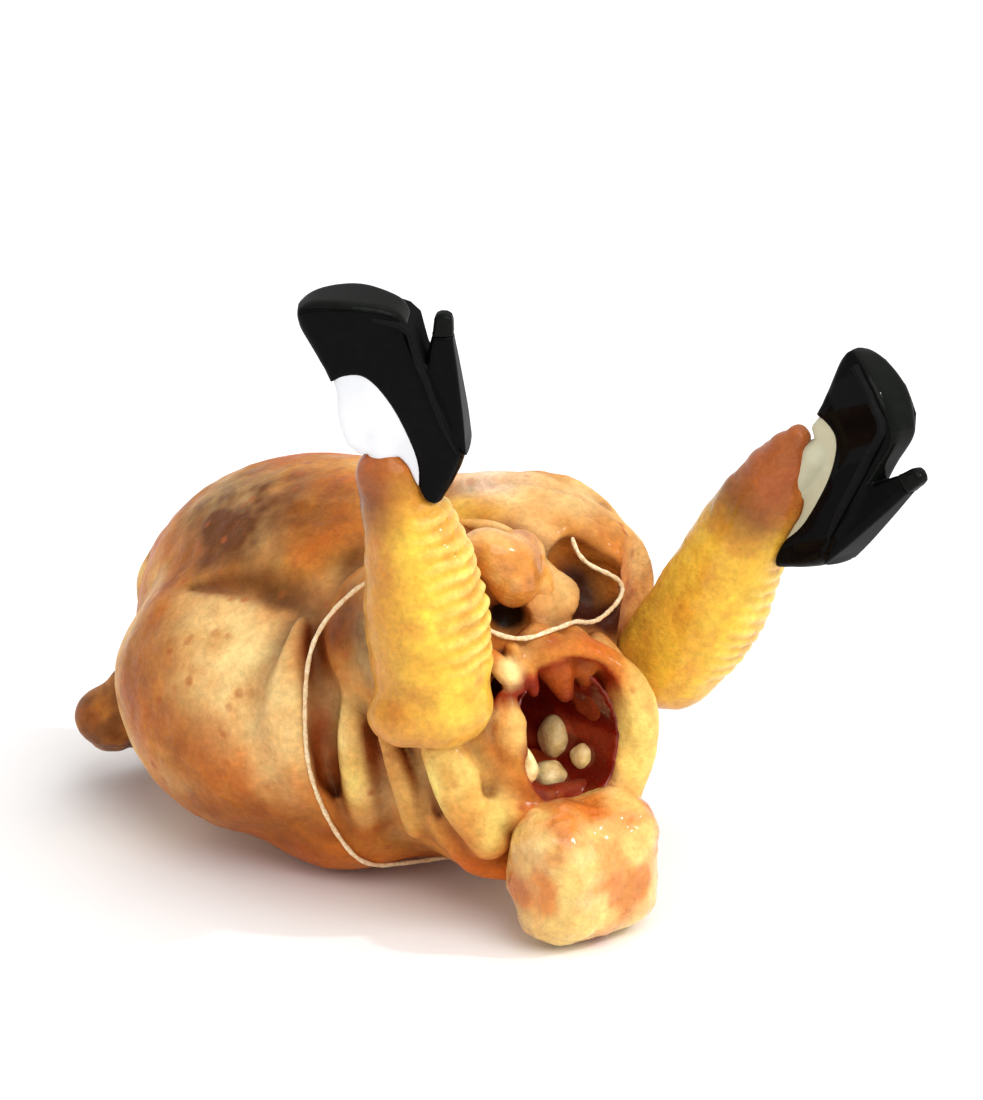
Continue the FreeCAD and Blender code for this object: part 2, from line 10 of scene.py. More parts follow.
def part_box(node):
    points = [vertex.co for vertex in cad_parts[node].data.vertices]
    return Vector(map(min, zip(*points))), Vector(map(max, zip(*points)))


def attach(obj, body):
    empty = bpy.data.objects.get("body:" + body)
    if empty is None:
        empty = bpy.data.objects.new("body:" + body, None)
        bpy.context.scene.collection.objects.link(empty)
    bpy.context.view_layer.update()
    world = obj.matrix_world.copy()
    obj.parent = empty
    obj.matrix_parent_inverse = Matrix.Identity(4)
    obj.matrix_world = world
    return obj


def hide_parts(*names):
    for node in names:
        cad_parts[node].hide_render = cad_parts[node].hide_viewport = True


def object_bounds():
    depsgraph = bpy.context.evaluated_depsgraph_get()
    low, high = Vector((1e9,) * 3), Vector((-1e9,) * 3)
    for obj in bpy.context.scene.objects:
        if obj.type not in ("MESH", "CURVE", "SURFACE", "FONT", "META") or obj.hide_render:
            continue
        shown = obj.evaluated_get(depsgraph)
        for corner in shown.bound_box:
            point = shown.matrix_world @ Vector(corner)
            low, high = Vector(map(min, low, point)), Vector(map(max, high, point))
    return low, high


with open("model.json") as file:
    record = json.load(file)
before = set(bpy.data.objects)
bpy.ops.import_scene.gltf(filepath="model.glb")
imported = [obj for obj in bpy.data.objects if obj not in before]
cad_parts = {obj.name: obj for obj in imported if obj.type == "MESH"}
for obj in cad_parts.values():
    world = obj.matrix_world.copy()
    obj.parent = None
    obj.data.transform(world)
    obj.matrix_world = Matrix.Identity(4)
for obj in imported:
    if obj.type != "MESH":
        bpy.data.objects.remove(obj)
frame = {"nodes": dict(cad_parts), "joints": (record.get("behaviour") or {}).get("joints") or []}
cad_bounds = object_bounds()
# a millimetre in metres
MM = 0.001
SIDES = ("left", "right")
# a distance in millimetres that counts as far from everything
FAR = 60.0


# ---------------- places from the frame
def node_box(node):
    """Lowest and highest corner of a CAD node, in millimetres."""
    low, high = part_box(node)
    return np.array(low) / MM, np.array(high) / MM


def unit(vector):
    """Vector of length one."""
    vector = np.asarray(vector, float)
    return vector / np.linalg.norm(vector)


def unit_rows(vectors):
    """Rows of vectors, each of length one."""
    return vectors / np.linalg.norm(vectors, axis=1, keepdims=True)


class Layout:
    """Turns places given for a node's nominal box into places in its packed box."""

    def __init__(self, node, low, high):
        self.low, self.high = node_box(node)
        self.nominal = np.array(low, float)
        self.scale = (self.high - self.low) / (np.array(high, float) - self.nominal)

    def at(self, *place):
        """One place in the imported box."""
        return self.low + (np.array(place, float) - self.nominal) * self.scale

    def route(self, places):
        """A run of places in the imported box."""
        return [self.at(*place) for place in places]


JOINTS = {joint["name"]: joint for joint in frame["joints"]}
TORSO = Layout("torso_skin", (-90, -105.6, 0), (90, 128, 146))


def leg_axes(side):
    """Knee, hinge axis, forward axis, axis up the leg and the leg's length, in millimetres."""
    knee = np.array(JOINTS[f"{side}_knee"]["pos_m"]) / MM
    across = unit(JOINTS[f"{side}_knee"]["axis"])
    ankle = np.array(JOINTS[f"{side}_ankle_turn"]["pos_m"]) / MM
    up = unit(ankle - knee)
    return knee, across, np.cross(up, across), up, float(np.linalg.norm(ankle - knee))


# ---------------- seeded noise
def corners(part):
    """Each corner of a lattice cell, with its share at places inside the cell."""
    for corner in np.ndindex(2, 2, 2):
        shares = [part[:, i] if corner[i] else 1 - part[:, i] for i in range(3)]
        yield corner, shares[0] * shares[1] * shares[2]


class Noise:
    """Smooth value noise on a repeating lattice, about -1 to 1."""

    def __init__(self, seed):
        self.table = np.random.default_rng(seed).uniform(-1, 1, (32, 32, 32)).astype(np.float32)

    def __call__(self, points, scale):
        place = np.asarray(points, np.float32) / np.asarray(scale, np.float32)
        cell = np.floor(place).astype(int)
        part = place - cell
        total = np.zeros(len(place), np.float32)
        for corner, share in corners(part * part * (3 - 2 * part)):
            total += share * self.table[tuple(((cell + corner) % 32).T)]
        return total


ROUGH = Noise(11)
FINE = Noise(23)
TONE = Noise(37)


def layered(noise, points, scale, octaves):
    """Sum of noise layers, each about half as large and half as strong as the one before."""
    total = np.zeros(len(points), np.float32)
    strength = 1.0
    for _ in range(octaves):
        total += strength * noise(points, scale)
        strength *= 0.5
        scale = np.asarray(scale, np.float32) * 0.52
    return total


# ---------------- sculpting in a distance field
def smooth_min(a, b, blend):
    """Smaller of two distances, rounded where they meet."""
    share = np.clip(0.5 + 0.5 * (b - a) / blend, 0, 1)
    return b * (1 - share) + a * share - blend * share * (1 - share)


def smooth_max(a, b, blend):
    """Larger of two distances, rounded where they meet."""
    return -smooth_min(-a, -b, blend)


def through(points, count):
    """Smooth run of points through the given ones, so many from each to the next."""
    p = np.array(points, float)
    ends = np.vstack([2 * p[0] - p[1], p, 2 * p[-1] - p[-2]])
    steps = np.linspace(0, 1, count, endpoint=False)[:, None]
    runs = []
    for a, b, c, d in zip(ends, ends[1:], ends[2:], ends[3:]):
        runs.append(0.5 * (2 * b + (c - a) * steps + (2 * a - 5 * b + 4 * c - d) * steps**2
                           + (3 * b - a - 3 * c + d) * steps**3))
    return np.vstack(runs + [p[-1:]])


class Sculpt:
    """Distance field on a grid, in millimetres, that forms are added to and carved from."""

    def __init__(self, low, high, step):
        self.step = step
        self.low = np.floor(np.asarray(low, float) / step) * step
        count = np.ceil((np.asarray(high, float) - self.low) / step).astype(int) + 1
        self.ticks = [self.low[i] + step * np.arange(count[i]) for i in range(3)]
        self.field = np.full(tuple(count), FAR, np.float32)

    def window(self, low, high):
        """Slices of the grid that cover a box."""
        spans = []
        for i in range(3):
            first = int(max(0, math.floor((low[i] - self.low[i]) / self.step)))
            last = int(min(len(self.ticks[i]), math.ceil((high[i] - self.low[i]) / self.step) + 1))
            spans.append(slice(first, max(first, last)))
        return tuple(spans)

    def mesh_grid(self, spans=(slice(None),) * 3):
        """Coordinates of a window, or of the whole grid, ready to broadcast."""
        x, y, z = (self.ticks[i][spans[i]].astype(np.float32) for i in range(3))
        return x[:, None, None], y[None, :, None], z[None, None, :]

    def merge(self, spans, distance, blend, carve):
        """Joins a form to the field, or takes it away."""
        part = self.field[spans]
        self.field[spans] = smooth_max(part, -distance, blend) if carve else smooth_min(part, distance, blend)

    def ellipsoid(self, centre, radii, blend, carve=False, axes=None):
        """Adds or carves an ellipsoid, turned into the given axes."""
        centre = np.asarray(centre, float)
        radii = np.asarray(radii, float)
        reach = (radii if axes is None else np.full(3, radii.max())) + 2.5 * blend + 3
        spans = self.window(centre - reach, centre + reach)
        x, y, z = self.mesh_grid(spans)
        x, y, z = x - centre[0], y - centre[1], z - centre[2]
        if axes is not None:
            x, y, z = (x * a[0] + y * a[1] + z * a[2] for a in axes)
        near = np.sqrt((x / radii[0])**2 + (y / radii[1])**2 + (z / radii[2])**2)
        far = np.sqrt((x / radii[0]**2)**2 + (y / radii[1]**2)**2 + (z / radii[2]**2)**2)
        self.merge(spans, near * (near - 1) / np.maximum(far, 1e-6), blend, carve)

    def chain(self, points, radii, blend, carve=False):
        """Adds or carves a run of round limbs through points, with a radius at each."""
        points = [np.asarray(p, float) for p in points]
        reach = max(radii) + 2.5 * blend + 3
        spans = self.window(np.min(points, axis=0) - reach, np.max(points, axis=0) + reach)
        x, y, z = self.mesh_grid(spans)
        best = None
        for a, b, near, far in zip(points, points[1:], radii, radii[1:]):
            run = b - a
            px, py, pz = x - a[0], y - a[1], z - a[2]
            along = np.clip((px * run[0] + py * run[1] + pz * run[2]) / run.dot(run), 0, 1)
            qx, qy, qz = px - along * run[0], py - along * run[1], pz - along * run[2]
            distance = np.sqrt(qx * qx + qy * qy + qz * qz) - (near + along * (far - near))
            best = distance if best is None else np.minimum(best, distance)
        self.merge(spans, best, blend, carve)

    def cut_below(self, height, blend=1.5):
        """Cuts off everything below a height."""
        self.field = smooth_max(self.field, height - self.mesh_grid()[2], blend)

    def sample(self, points):
        """Distance at points, mixed from the grid values around each."""
        place = (np.asarray(points, float) - self.low) / self.step
        top = np.array(self.field.shape) - 2
        place = np.clip(place, 0, top + 0.999)
        cell = np.minimum(place.astype(int), top)
        total = np.zeros(len(place))
        for corner, share in corners(place - cell):
            total += share * self.field[tuple((cell + corner).T)]
        return total

    def slopes(self, points):
        """Unit outward direction of the field at points."""
        slope = np.stack([self.sample(points + axis) - self.sample(points - axis)
                          for axis in self.step * np.eye(3)], axis=1)
        return slope / np.maximum(np.linalg.norm(slope, axis=1, keepdims=True), 1e-6)

    def surface(self):
        """Points and faces of the zero surface."""
        limit = 3 * self.step
        grid = openvdb.FloatGrid(background=limit)
        grid.copyFromArray(np.clip(self.field, -limit, limit).astype(np.float32))
        points, quads = grid.convertToQuads(0.0)
        return points.astype(np.float64) * self.step + self.low, quads

    def skin(self):
        """Points, faces and outward directions of the zero surface."""
        points, faces = self.surface()
        return points, faces, self.slopes(points)


# ---------------- meshes
def build_piece(name, points, faces, material, tint=None):
    """Smooth-shaded mesh object from points in millimetres, with a colour for each point."""
    mesh = bpy.data.meshes.new(name)
    mesh.from_pydata((np.asarray(points) * MM).tolist(), [], np.asarray(faces).tolist())
    mesh.validate()
    mesh.shade_smooth()
    if tint is not None:
        colour = mesh.color_attributes.new("tint", "FLOAT_COLOR", "POINT")
        values = np.ones((len(mesh.vertices), 4), np.float32)
        values[:, :3] = tint
        colour.data.foreach_set("color", values.ravel())
    mesh.materials.append(material)
    obj = bpy.data.objects.new(name, mesh)
    bpy.context.scene.collection.objects.link(obj)
    return obj


def linear(red, green, blue):
    """Colour written as 0 to 255 screen values, in linear light."""
    screen = np.array((red, green, blue), float) / 255
    return np.where(screen <= 0.04045, screen / 12.92, ((screen + 0.055) / 1.055)**2.4)


def blob(points, centre, radii):
    """Soft weight, 1 at a centre and 0 outside its radii."""
    away = np.linalg.norm((points - centre) / np.asarray(radii, float), axis=1)
    fall = np.clip(1 - away, 0, 1)
    return fall * fall * (3 - 2 * fall)


def mix(tint, colour, weight, limit=1):
    """Moves colours towards another by a weight for each point, up to a limit."""
    weight = np.clip(weight, 0, limit)[:, None]
    return tint * (1 - weight) + np.asarray(colour) * weight


def mottled(points, base, *steps):
    """A base colour at each point, mixed with others in turn: colour, weight, limit."""
    tint = np.tile(base, (len(points), 1))
    for step in steps:
        tint = mix(tint, *step)
    return tint


def hollow_shade(sculpt, points, slopes, reach):
    """How deep in a fold each point lies, from 0 in the open to 1 in a crease."""
    ahead = sculpt.sample(points + slopes * reach)
    return np.clip(1.15 - ahead / reach, 0, 1)


# ---------------- materials
class Nodes:
    """Short hand for building a material's nodes."""

    def __init__(self, name):
        self.material = bpy.data.materials.new(name)
        self.material.use_nodes = True
        self.tree = self.material.node_tree
        self.shader = self.tree.nodes["Principled BSDF"]
        self.place = self.tree.nodes.new("ShaderNodeTexCoord").outputs["Object"]

    def add(self, kind, inputs=None, **settings):
        node = self.tree.nodes.new(kind)
        for key, value in settings.items():
            setattr(node, key, value)
        for key, value in (inputs or {}).items():
            self.feed(node.inputs[key], value)
        return node

    def feed(self, socket, value):
        if isinstance(value, bpy.types.NodeSocket):
            self.tree.links.new(value, socket)
        else:
            socket.default_value = value

    def noise(self, scale, detail, roughness=0.5, stretch=None):
        place = self.place
        if stretch is not None:
            place = self.add("ShaderNodeMapping", {"Vector": place, "Scale": stretch}).outputs["Vector"]
        inputs = {"Vector": place, "Scale": scale, "Detail": detail, "Roughness": roughness}
        return self.add("ShaderNodeTexNoise", inputs).outputs["Fac"]

    def cells(self, scale, randomness=1.0):
        inputs = {"Vector": self.place, "Scale": scale, "Randomness": randomness}
        return self.add("ShaderNodeTexVoronoi", inputs).outputs["Distance"]

    def span(self, value, low, high, new_low=0.0, new_high=1.0):
        inputs = {"Value": value, "From Min": low, "From Max": high, "To Min": new_low, "To Max": new_high}
        return self.add("ShaderNodeMapRange", inputs).outputs["Result"]

    def blend(self, amount, first, second, mode="MIX"):
        node = self.add("ShaderNodeMix", data_type="RGBA", blend_type=mode)
        self.feed(node.inputs["Factor"], amount)
        colours = [socket for socket in node.inputs if socket.type == "RGBA"]
        self.feed(colours[0], first)
        self.feed(colours[1], second)
        return next(socket for socket in node.outputs if socket.type == "RGBA")

    def times(self, first, second):
        node = self.add("ShaderNodeMath", {0: first, 1: second}, operation="MULTIPLY")
        return node.outputs["Value"]

    def bump(self, height, strength, distance, under=None):
        inputs = {"Height": height, "Strength": strength, "Distance": distance}
        if under is not None:
            inputs["Normal"] = under
        return self.add("ShaderNodeBump", inputs).outputs["Normal"]

    def finish(self, colour, roughness, normal=None, **constants):
        self.feed(self.shader.inputs["Base Color"], colour)
        self.feed(self.shader.inputs["Roughness"], roughness)
        if normal is not None:
            self.feed(self.shader.inputs["Normal"], normal)
        for key, value in constants.items():
            self.shader.inputs[key.replace("_", " ")].default_value = value
        return self.material


def rgba(red, green, blue):
    """Screen colour as a node value."""
    return tuple(float(v) for v in linear(red, green, blue)) + (1.0,)


def skin_material(name, wet, roughness, pores=0.5, pore_scale=170, dots=0.0):
    """Moulded rubber skin: painted tint, mottling, brown dots, pores, fine creases and a wet coat."""
    n = Nodes(name)
    tint = n.add("ShaderNodeVertexColor", layer_name="tint").outputs["Color"]
    mottle = n.span(n.noise(60, 5, 0.62), 0.34, 0.7, 0.0, 0.45)
    colour = n.blend(mottle, tint, n.blend(1.0, tint, rgba(232, 150, 74), "MULTIPLY"))
    patch = n.span(n.noise(150, 5, 0.7), 0.32, 0.68, 0.86, 1.18)
    colour = n.blend(1.0, colour, patch, "MULTIPLY")
    speck = n.span(n.noise(460, 4, 0.7), 0.34, 0.66, 0.9, 1.12)
    colour = n.blend(1.0, colour, speck, "MULTIPLY")
    if dots:
        rare = n.span(n.noise(38, 3, 0.55), 0.44, 0.6)
        dot = n.times(n.span(n.cells(112), 0.12, 0.27, 1.0, 0.0), rare)
        colour = n.blend(n.times(dot, dots), colour, rgba(170, 84, 34))
    gloss = n.span(n.noise(90, 4, 0.6), 0.32, 0.68, roughness[0], roughness[1])
    creases = n.noise(330, 6, 0.62, (1.0, 1.0, 1.5))
    normal = n.bump(n.span(n.cells(pore_scale), 0.0, 0.34), pores * 0.35, 0.0006)
    normal = n.bump(creases, 0.7, 0.0011, normal)
    normal = n.bump(n.noise(1300, 3, 0.6), 0.2, 0.0003, normal)
    return n.finish(colour, gloss, normal, Subsurface_Weight=0.08, Subsurface_Scale=0.003,
                    Subsurface_Radius=(0.8, 0.45, 0.2),
                    Coat_Weight=wet, Coat_Roughness=0.14, Specular_IOR_Level=0.2,
                    Specular_Tint=(1.0, 0.72, 0.4, 1))


def moulded_black(name, base, roughness, coat, grain):
    """Glossy or satin black moulded plastic with faint scuffs and a wavy moulded face."""
    n = Nodes(name)
    scuff = n.span(n.noise(260, 5, 0.65), 0.52, 0.78)
    lighter = tuple(min(1.0, c * 1.8 + 0.004) for c in base[:3]) + (1.0,)
    colour = n.blend(n.times(scuff, 0.35), base, lighter)
    gloss = n.span(n.noise(140, 4, 0.6), 0.3, 0.75, roughness[0], roughness[1])
    normal = n.bump(n.noise(70, 2, 0.4), grain, 0.001)
    normal = n.bump(n.noise(900, 3, 0.6), grain * 0.8, 0.0003, normal)
    return n.finish(colour, gloss, normal, Coat_Weight=coat, Coat_Roughness=0.09, Coat_IOR=1.3,
                    Specular_IOR_Level=0.0)


def brushed_metal(name, low, high, roughness=(0.28, 0.46)):
    """Turned or brushed metal with fine streaks and a few dull marks."""
    n = Nodes(name)
    streak = n.noise(900, 4, 0.6, (1.0, 1.0, 0.06))
    dull = n.noise(120, 4, 0.6)
    colour = n.blend(n.span(streak, 0.3, 0.7), low, high)
    gloss = n.span(dull, 0.3, 0.7, roughness[0], roughness[1])
    return n.finish(colour, gloss, n.bump(streak, 0.18, 0.0002), Metallic=1.0)


def woven_cloth(name, light, shade):
    """Padded cloth: soft weave, faint darker patches and fuzz."""
    n = Nodes(name)
    soft = n.span(n.noise(45, 4, 0.55), 0.35, 0.7)
    colour = n.blend(n.times(soft, 0.5), light, shade)
    normal = n.bump(n.cells(900, randomness=0.25), 0.25, 0.0002)
    normal = n.bump(n.noise(60, 3, 0.5), 0.3, 0.0012, normal)
    return n.finish(colour, n.span(soft, 0, 1, 0.42, 0.6), normal, Sheen_Weight=0.2, Sheen_Roughness=0.4)


def fibre_fill(name):
    """Matted white stuffing fibre."""
    n = Nodes(name)
    strand = n.noise(260, 6, 0.7, (1.0, 3.0, 0.5))
    colour = n.blend(n.span(strand, 0.3, 0.7), rgba(206, 200, 188), rgba(242, 240, 232))
    return n.finish(colour, n.span(strand, 0.2, 0.8, 0.8, 0.98), n.bump(strand, 0.7, 0.0015))


def elastic_band(name):
    """Twisted cream elastic with a slight translucence."""
    n = Nodes(name)
    ply = n.noise(700, 3, 0.6)
    colour = n.blend(n.span(ply, 0.35, 0.65), rgba(222, 184, 128), rgba(250, 232, 196))
    return n.finish(colour, n.span(ply, 0.3, 0.7, 0.38, 0.62), n.bump(ply, 0.3, 0.0003),
                    Subsurface_Weight=0.2, Subsurface_Scale=0.001)


def plain_floor(name):
    """Pale matte floor with a barely visible grain."""
    n = Nodes(name)
    grain = n.noise(14, 4, 0.5)
    colour = n.blend(n.span(grain, 0.35, 0.65), (0.93, 0.93, 0.93, 1), (0.95, 0.95, 0.95, 1))
    return n.finish(colour, n.span(grain, 0.3, 0.7, 0.88, 0.95), n.bump(grain, 0.02, 0.001),
                    Specular_IOR_Level=0.1)


# ---------------- places along a leg
# distance up the leg from the knee, radius there
DRUMSTICK = [(0, 19.2), (14, 19.8), (31, 18.4), (48, 15.0), (62, 11.9), (72, 10.1), (80, 9.6)]
# each leg's muscle lies to one side of its bone: distance up the leg, offset to that side, radius
MUSCLE_SIDE = {"left": (0.77, -0.64, 0), "right": (-0.48, 0.68, 0.56)}
MUSCLE = {
    "left": [(12, 3, 18), (30, 5.5, 18.2), (47, 5.5, 16.8), (60, 4, 15), (70, 0.5, 12.6), (80, -2, 9.8)],
    "right": [(30, 1.5, 18.2), (46, 3, 17.4), (60, 5, 16), (73, 6.4, 14), (86, 8, 10.8), (97, 8.8, 7.5),
              (104, 9, 4.5)],
}
# radii of the calf's swelling
CALF = (15.5, 15.5, 27)
# distance from one rolled ridge of a drumstick to the next
RIDGE_PITCH = 5.4
# room, in millimetres, that the torso leaves round a bone, a muscle and a calf; a shoe leaves the first
BONE_GAP, MUSCLE_GAP, CALF_GAP = 0.9, 2.16, 1.8


def bone_run(side, up, first=0):
    """Centres and radii along a drumstick that points up, from a row on."""
    knee = leg_axes(side)[0]
    return [knee + up * rise for rise, _ in DRUMSTICK[first:]], [radius for _, radius in DRUMSTICK[first:]]


def muscle_run(side, up, aside, first=0):
    """Centres and radii along the muscle beside a drumstick that points up, from a row on."""
    knee, rows = leg_axes(side)[0], MUSCLE[side][first:]
    return [knee + up * rise + aside * offset for rise, offset, _ in rows], [radius for _, _, radius in rows]


def calf_centre(knee, across, ahead, up):
    """Centre of the calf's swelling."""
    return knee + up * 24 + (across * 0.55 - ahead * 0.6) * 4.5


# ---------------- torso
TAN = linear(208, 140, 60)
CREAM = linear(252, 222, 150)
ORANGE = linear(210, 108, 26)
UMBER = linear(160, 92, 30)
RUST = linear(150, 66, 14)
BROWN = linear(104, 58, 12)
# the darkest brown, used only for painted shade in creases, grooves, recesses and holes
DEEP_SHADE = linear(54, 20, 8)
PINK = linear(246, 228, 204)
YELLOW = linear(246, 206, 70)
GOLD = linear(252, 226, 126)
RED = linear(126, 22, 8)

# masses of the torso: centre, radii, how softly each joins the rest
TORSO_MASSES = [
    ((0, 20, 67), (67.5, 107.5, 72), 1), ((-44, 26, 58), (45.5, 63.5, 49.5), 7),
    ((44, 26, 58), (45.5, 63.5, 49.5), 7), ((0, -64, 58), (49.5, 43.5, 49.5), 9),
    ((-40, -48, 99), (25, 28, 28), 7), ((46, -46, 100), (26, 30, 30), 6),
    ((28, -28, 120), (28, 34, 19), 8), ((6, -66, 106), (22, 18, 13), 8),
    ((-32, -5, 22), (29, 36, 21), 8),
]
# raised folds of skin: route, radii, softness
TORSO_FOLDS = [
    ([(-58, -16, 104), (-66, -21, 92), (-71, -23, 72), (-67, -25, 52), (-54, -26, 32)], (1, 4, 7, 6, 5), 8),
    ([(-58, -42, 82), (-57, -44, 66), (-53, -42, 48), (-42, -34, 22)], (2, 6.5, 7, 5), 4),
    ([(-50, -77, 78), (-47, -82, 64), (-42, -88, 50), (-35, -90, 36)], (5, 8.5, 10, 8), 4),
    ([(-41, -70, 40), (-32, -80, 27), (-18, -90, 22)], (6, 8, 7), 5),
    ([(-56, -58, 70), (-52, -64, 52), (-44, -62, 34)], (3, 5, 5), 3),
    ([(-22, -85, 93), (-5, -91, 97), (9, -98, 91), (19, -104, 77), (22, -102, 57), (15, -104, 42)],
     (4.5, 6.5, 7.5, 8, 7.5, 6), 3),
    ([(-36, -93, 50), (-22, -102, 42), (0, -106, 39), (16, -104, 40)], (5, 6, 6, 4.5), 4),
    ([(-24, -78, 96), (-12, -81, 98), (2, -81, 98)], (3.5, 4, 3.5), 3),
    ([(-10, -38, 134), (2, -52, 130), (8, -61, 121), (7, -69, 110), (-1, -77, 102), (-9, -81, 98)],
     (1, 3.5, 4.5, 4.8, 4, 3.5), 5),
    ([(10, -14, 139), (28, -22, 137), (42, -34, 134), (54, -40, 127)], (3, 4, 4.5, 3.5), 5),
    ([(26, -36, 135), (42, -48, 130), (58, -54, 117)], (3.5, 4, 3.5), 4),
    ([(26, -48, 130), (38, -58, 124), (50, -64, 111)], (3, 3.5, 3), 4),
    ([(24, -40, 134), (34, -52, 129), (46, -62, 118)], (2, 2.6, 2), 2),
    ([(34, -34, 136), (48, -44, 130), (60, -52, 119)], (2, 2.6, 2), 2),
    ([(44, -28, 137), (58, -38, 130), (66, -46, 120)], (2, 2.4, 2), 2),
    ([(40, -26, 137), (56, -34, 130), (66, -40, 114)], (2.5, 3.5, 3), 4),
]
# grooves and hollows: route, radii, softness
TORSO_GROOVES = [
    ([(-64, 56, 92), (-62, 34, 102), (-58, 12, 108), (-57, -4, 110), (-62, -24, 113), (-68, -42, 112)],
     (-3, 0, 3, 5, 7.5, 9), 7),
    ([(-74, -44, 112), (-72, -48, 98), (-68, -50, 84)], (8, 9, 7), 7),
    ([(-66, -37, 88), (-64, -34, 66), (-60, -32, 48), (-49, -30, 28)], (1, 3.4, 3, -3), 4),
    ([(-57, -56, 72), (-54, -55, 54), (-45, -48, 30)], (1, 3.2, -3), 3),
    ([(-53, -70, 66), (-48, -75, 50), (-38, -74, 28)], (1, 2.8, -3), 3),
    ([(-12, -66, 121), (-7, -62, 122)], (13, 13), 4),
    ([(-16, -81, 108), (-12, -72, 105)], (6, 8), 1.5),
    ([(27, -60, 116), (32, -68, 107), (28, -76, 101)], (8, 12, 7), 4),
    ([(21, -66, 114), (22, -74, 105), (12, -82, 101)], (6, 10, 5), 3),
    ([(34, -80, 97), (38, -84, 84)], (6, 6), 5),
    ([(-38, -97, 66), (-40, -95, 56)], (2, 2), 4),
]
# hollows of the vent: centre, radii
VENT = [((-6, -90, 67), (21, 48, 25)), ((-23, -90, 78), (9.5, 20, 15)), ((-4, -92, 84), (17, 22, 12.5)),
        ((-2, -92, 52), (19, 14, 9))]
# patches of paint on the skin: centre, radii, colour, strength; some are painted shade and painted light, as
# marked
PATCHES = [
    # the skin's own pale tone on the flank, partly painted light
    ((-74, -4, 80), (36, 50, 42), CREAM, 1.4), ((-70, -18, 60), (18, 24, 36), CREAM, 1.4),
    # the skin's own browner tone on the top, the left side and the bottom, partly painted shade
    ((-30, 8, 132), (30, 36, 22), UMBER, 1.7), ((-20, -10, 137), (14, 22, 12), TAN, 0.9),
    ((-42, 48, 122), (62, 62, 36), BROWN, 1.5), ((-86, 46, 78), (30, 36, 46), UMBER, 1.1),
    ((-88, 16, 54), (26, 34, 34), UMBER, 0.9), ((-72, 4, 24), (40, 60, 28), UMBER, 1.5),
    ((-50, -14, 14), (26, 30, 16), RUST, 0.7), ((-40, -22, 122), (20, 20, 18), BROWN, 1.1),
    # painted shade in the grooves of the left side; on the folds below, gold crests partly painted highlight
    # and rust grooves painted shade
    ((-60, -4, 110), (18, 30, 11), DEEP_SHADE, 1.1), ((-66, -38, 110), (20, 28, 24), DEEP_SHADE, 1.3),
    ((-68, -56, 100), (16, 20, 26), DEEP_SHADE, 1.1), ((-63, -32, 66), (8, 12, 38), RUST, 0.9),
    ((-57, -44, 60), (10, 14, 34), GOLD, 1.4), ((-53, -54, 56), (7, 8, 26), RUST, 1.1),
    ((-50, -64, 50), (9, 11, 24), GOLD, 0.9), ((-47, -84, 60), (17, 18, 28), GOLD, 1.8),
    ((-39, -93, 46), (14, 16, 22), GOLD, 1.7), ((-32, -88, 24), (26, 24, 12), ORANGE, 0.9),
    # pale and gold patches on the top of the right thigh and the knob
    ((24, -20, 137), (28, 24, 14), PINK, 1.4), ((44, -40, 130), (26, 22, 16), CREAM, 1.3),
    ((60, -52, 114), (16, 18, 20), CREAM, 1.3), ((10, -60, 122), (8, 14, 14), GOLD, 1.2),
    # the knob's orange, then painted shade in the recess by the right drumstick's root and in the hollows by
    # the knob
    ((-8, -60, 124), (18, 16, 16), ORANGE, 0.9), ((24, -70, 106), (17, 17, 18), DEEP_SHADE, 2.0),
    ((38, -76, 100), (12, 14, 14), DEEP_SHADE, 1.6), ((-15, -78, 107), (10, 10, 9), DEEP_SHADE, 2.0),
    # the vent's right lip painted pale, partly as painted light; then tones of the vent's rim, its lumps and
    # the top
    ((24, -102, 66), (18, 20, 44), GOLD, 1.9), ((8, -97, 100), (18, 12, 8), ORANGE, 1.0),
    ((-8, -90, 102), (16, 10, 6), RUST, 1.0), ((-12, -106, 41), (34, 12, 9), ORANGE, 1.1),
    ((-32, -90, 77), (7, 7, 13), CREAM, 1.5), ((-25, -88, 92), (9, 8, 9), CREAM, 1.3),
    ((0, -30, 135), (24, 24, 14), YELLOW, 0.9), ((-7, -88, 88), (8, 9, 10), ORANGE, 0.9),
    ((-30, -72, 112), (14, 14, 14), ORANGE, 0.8),
]
# painted over everything else: centre, radii, colour, strength; several are painted shade and painted light,
# as marked
LAST_PATCHES = [
    # painted shade along the long crease on the left side
    ((-54, 6, 106), (11, 38, 7), BROWN, 0.9), ((-57, -6, 104), (7, 22, 4), DEEP_SHADE, 0.8),
    # painted shade in the recess by the right drumstick's root
    ((30, -62, 104), (17, 17, 19), linear(62, 26, 16), 2.2),
    ((36, -70, 95), (12, 12, 12), linear(70, 28, 18), 1.6),
    # painted shade in the hole under the knob; the vent's right lip painted pale, partly as painted light
    ((-7, -67, 106), (10, 10, 9), linear(24, 8, 4), 2.4), ((16, -107, 66), (10, 10, 34), GOLD, 1.5),
    # pale lumps and flesh in the vent
    ((-30, -96, 76), (9, 9, 13), linear(232, 186, 104), 1.8), ((-27, -90, 94), (8, 7, 8), CREAM, 1.4),
    ((-4, -92, 90), (12, 9, 11), linear(190, 98, 34), 1.1),
    ((8, -92, 90), (8, 8, 9), linear(206, 120, 48), 1.2),
    # painted shade in a recess at the upper left of the vent
    ((-24, -78, 90), (9, 10, 9), linear(60, 12, 6), 1.2),
]
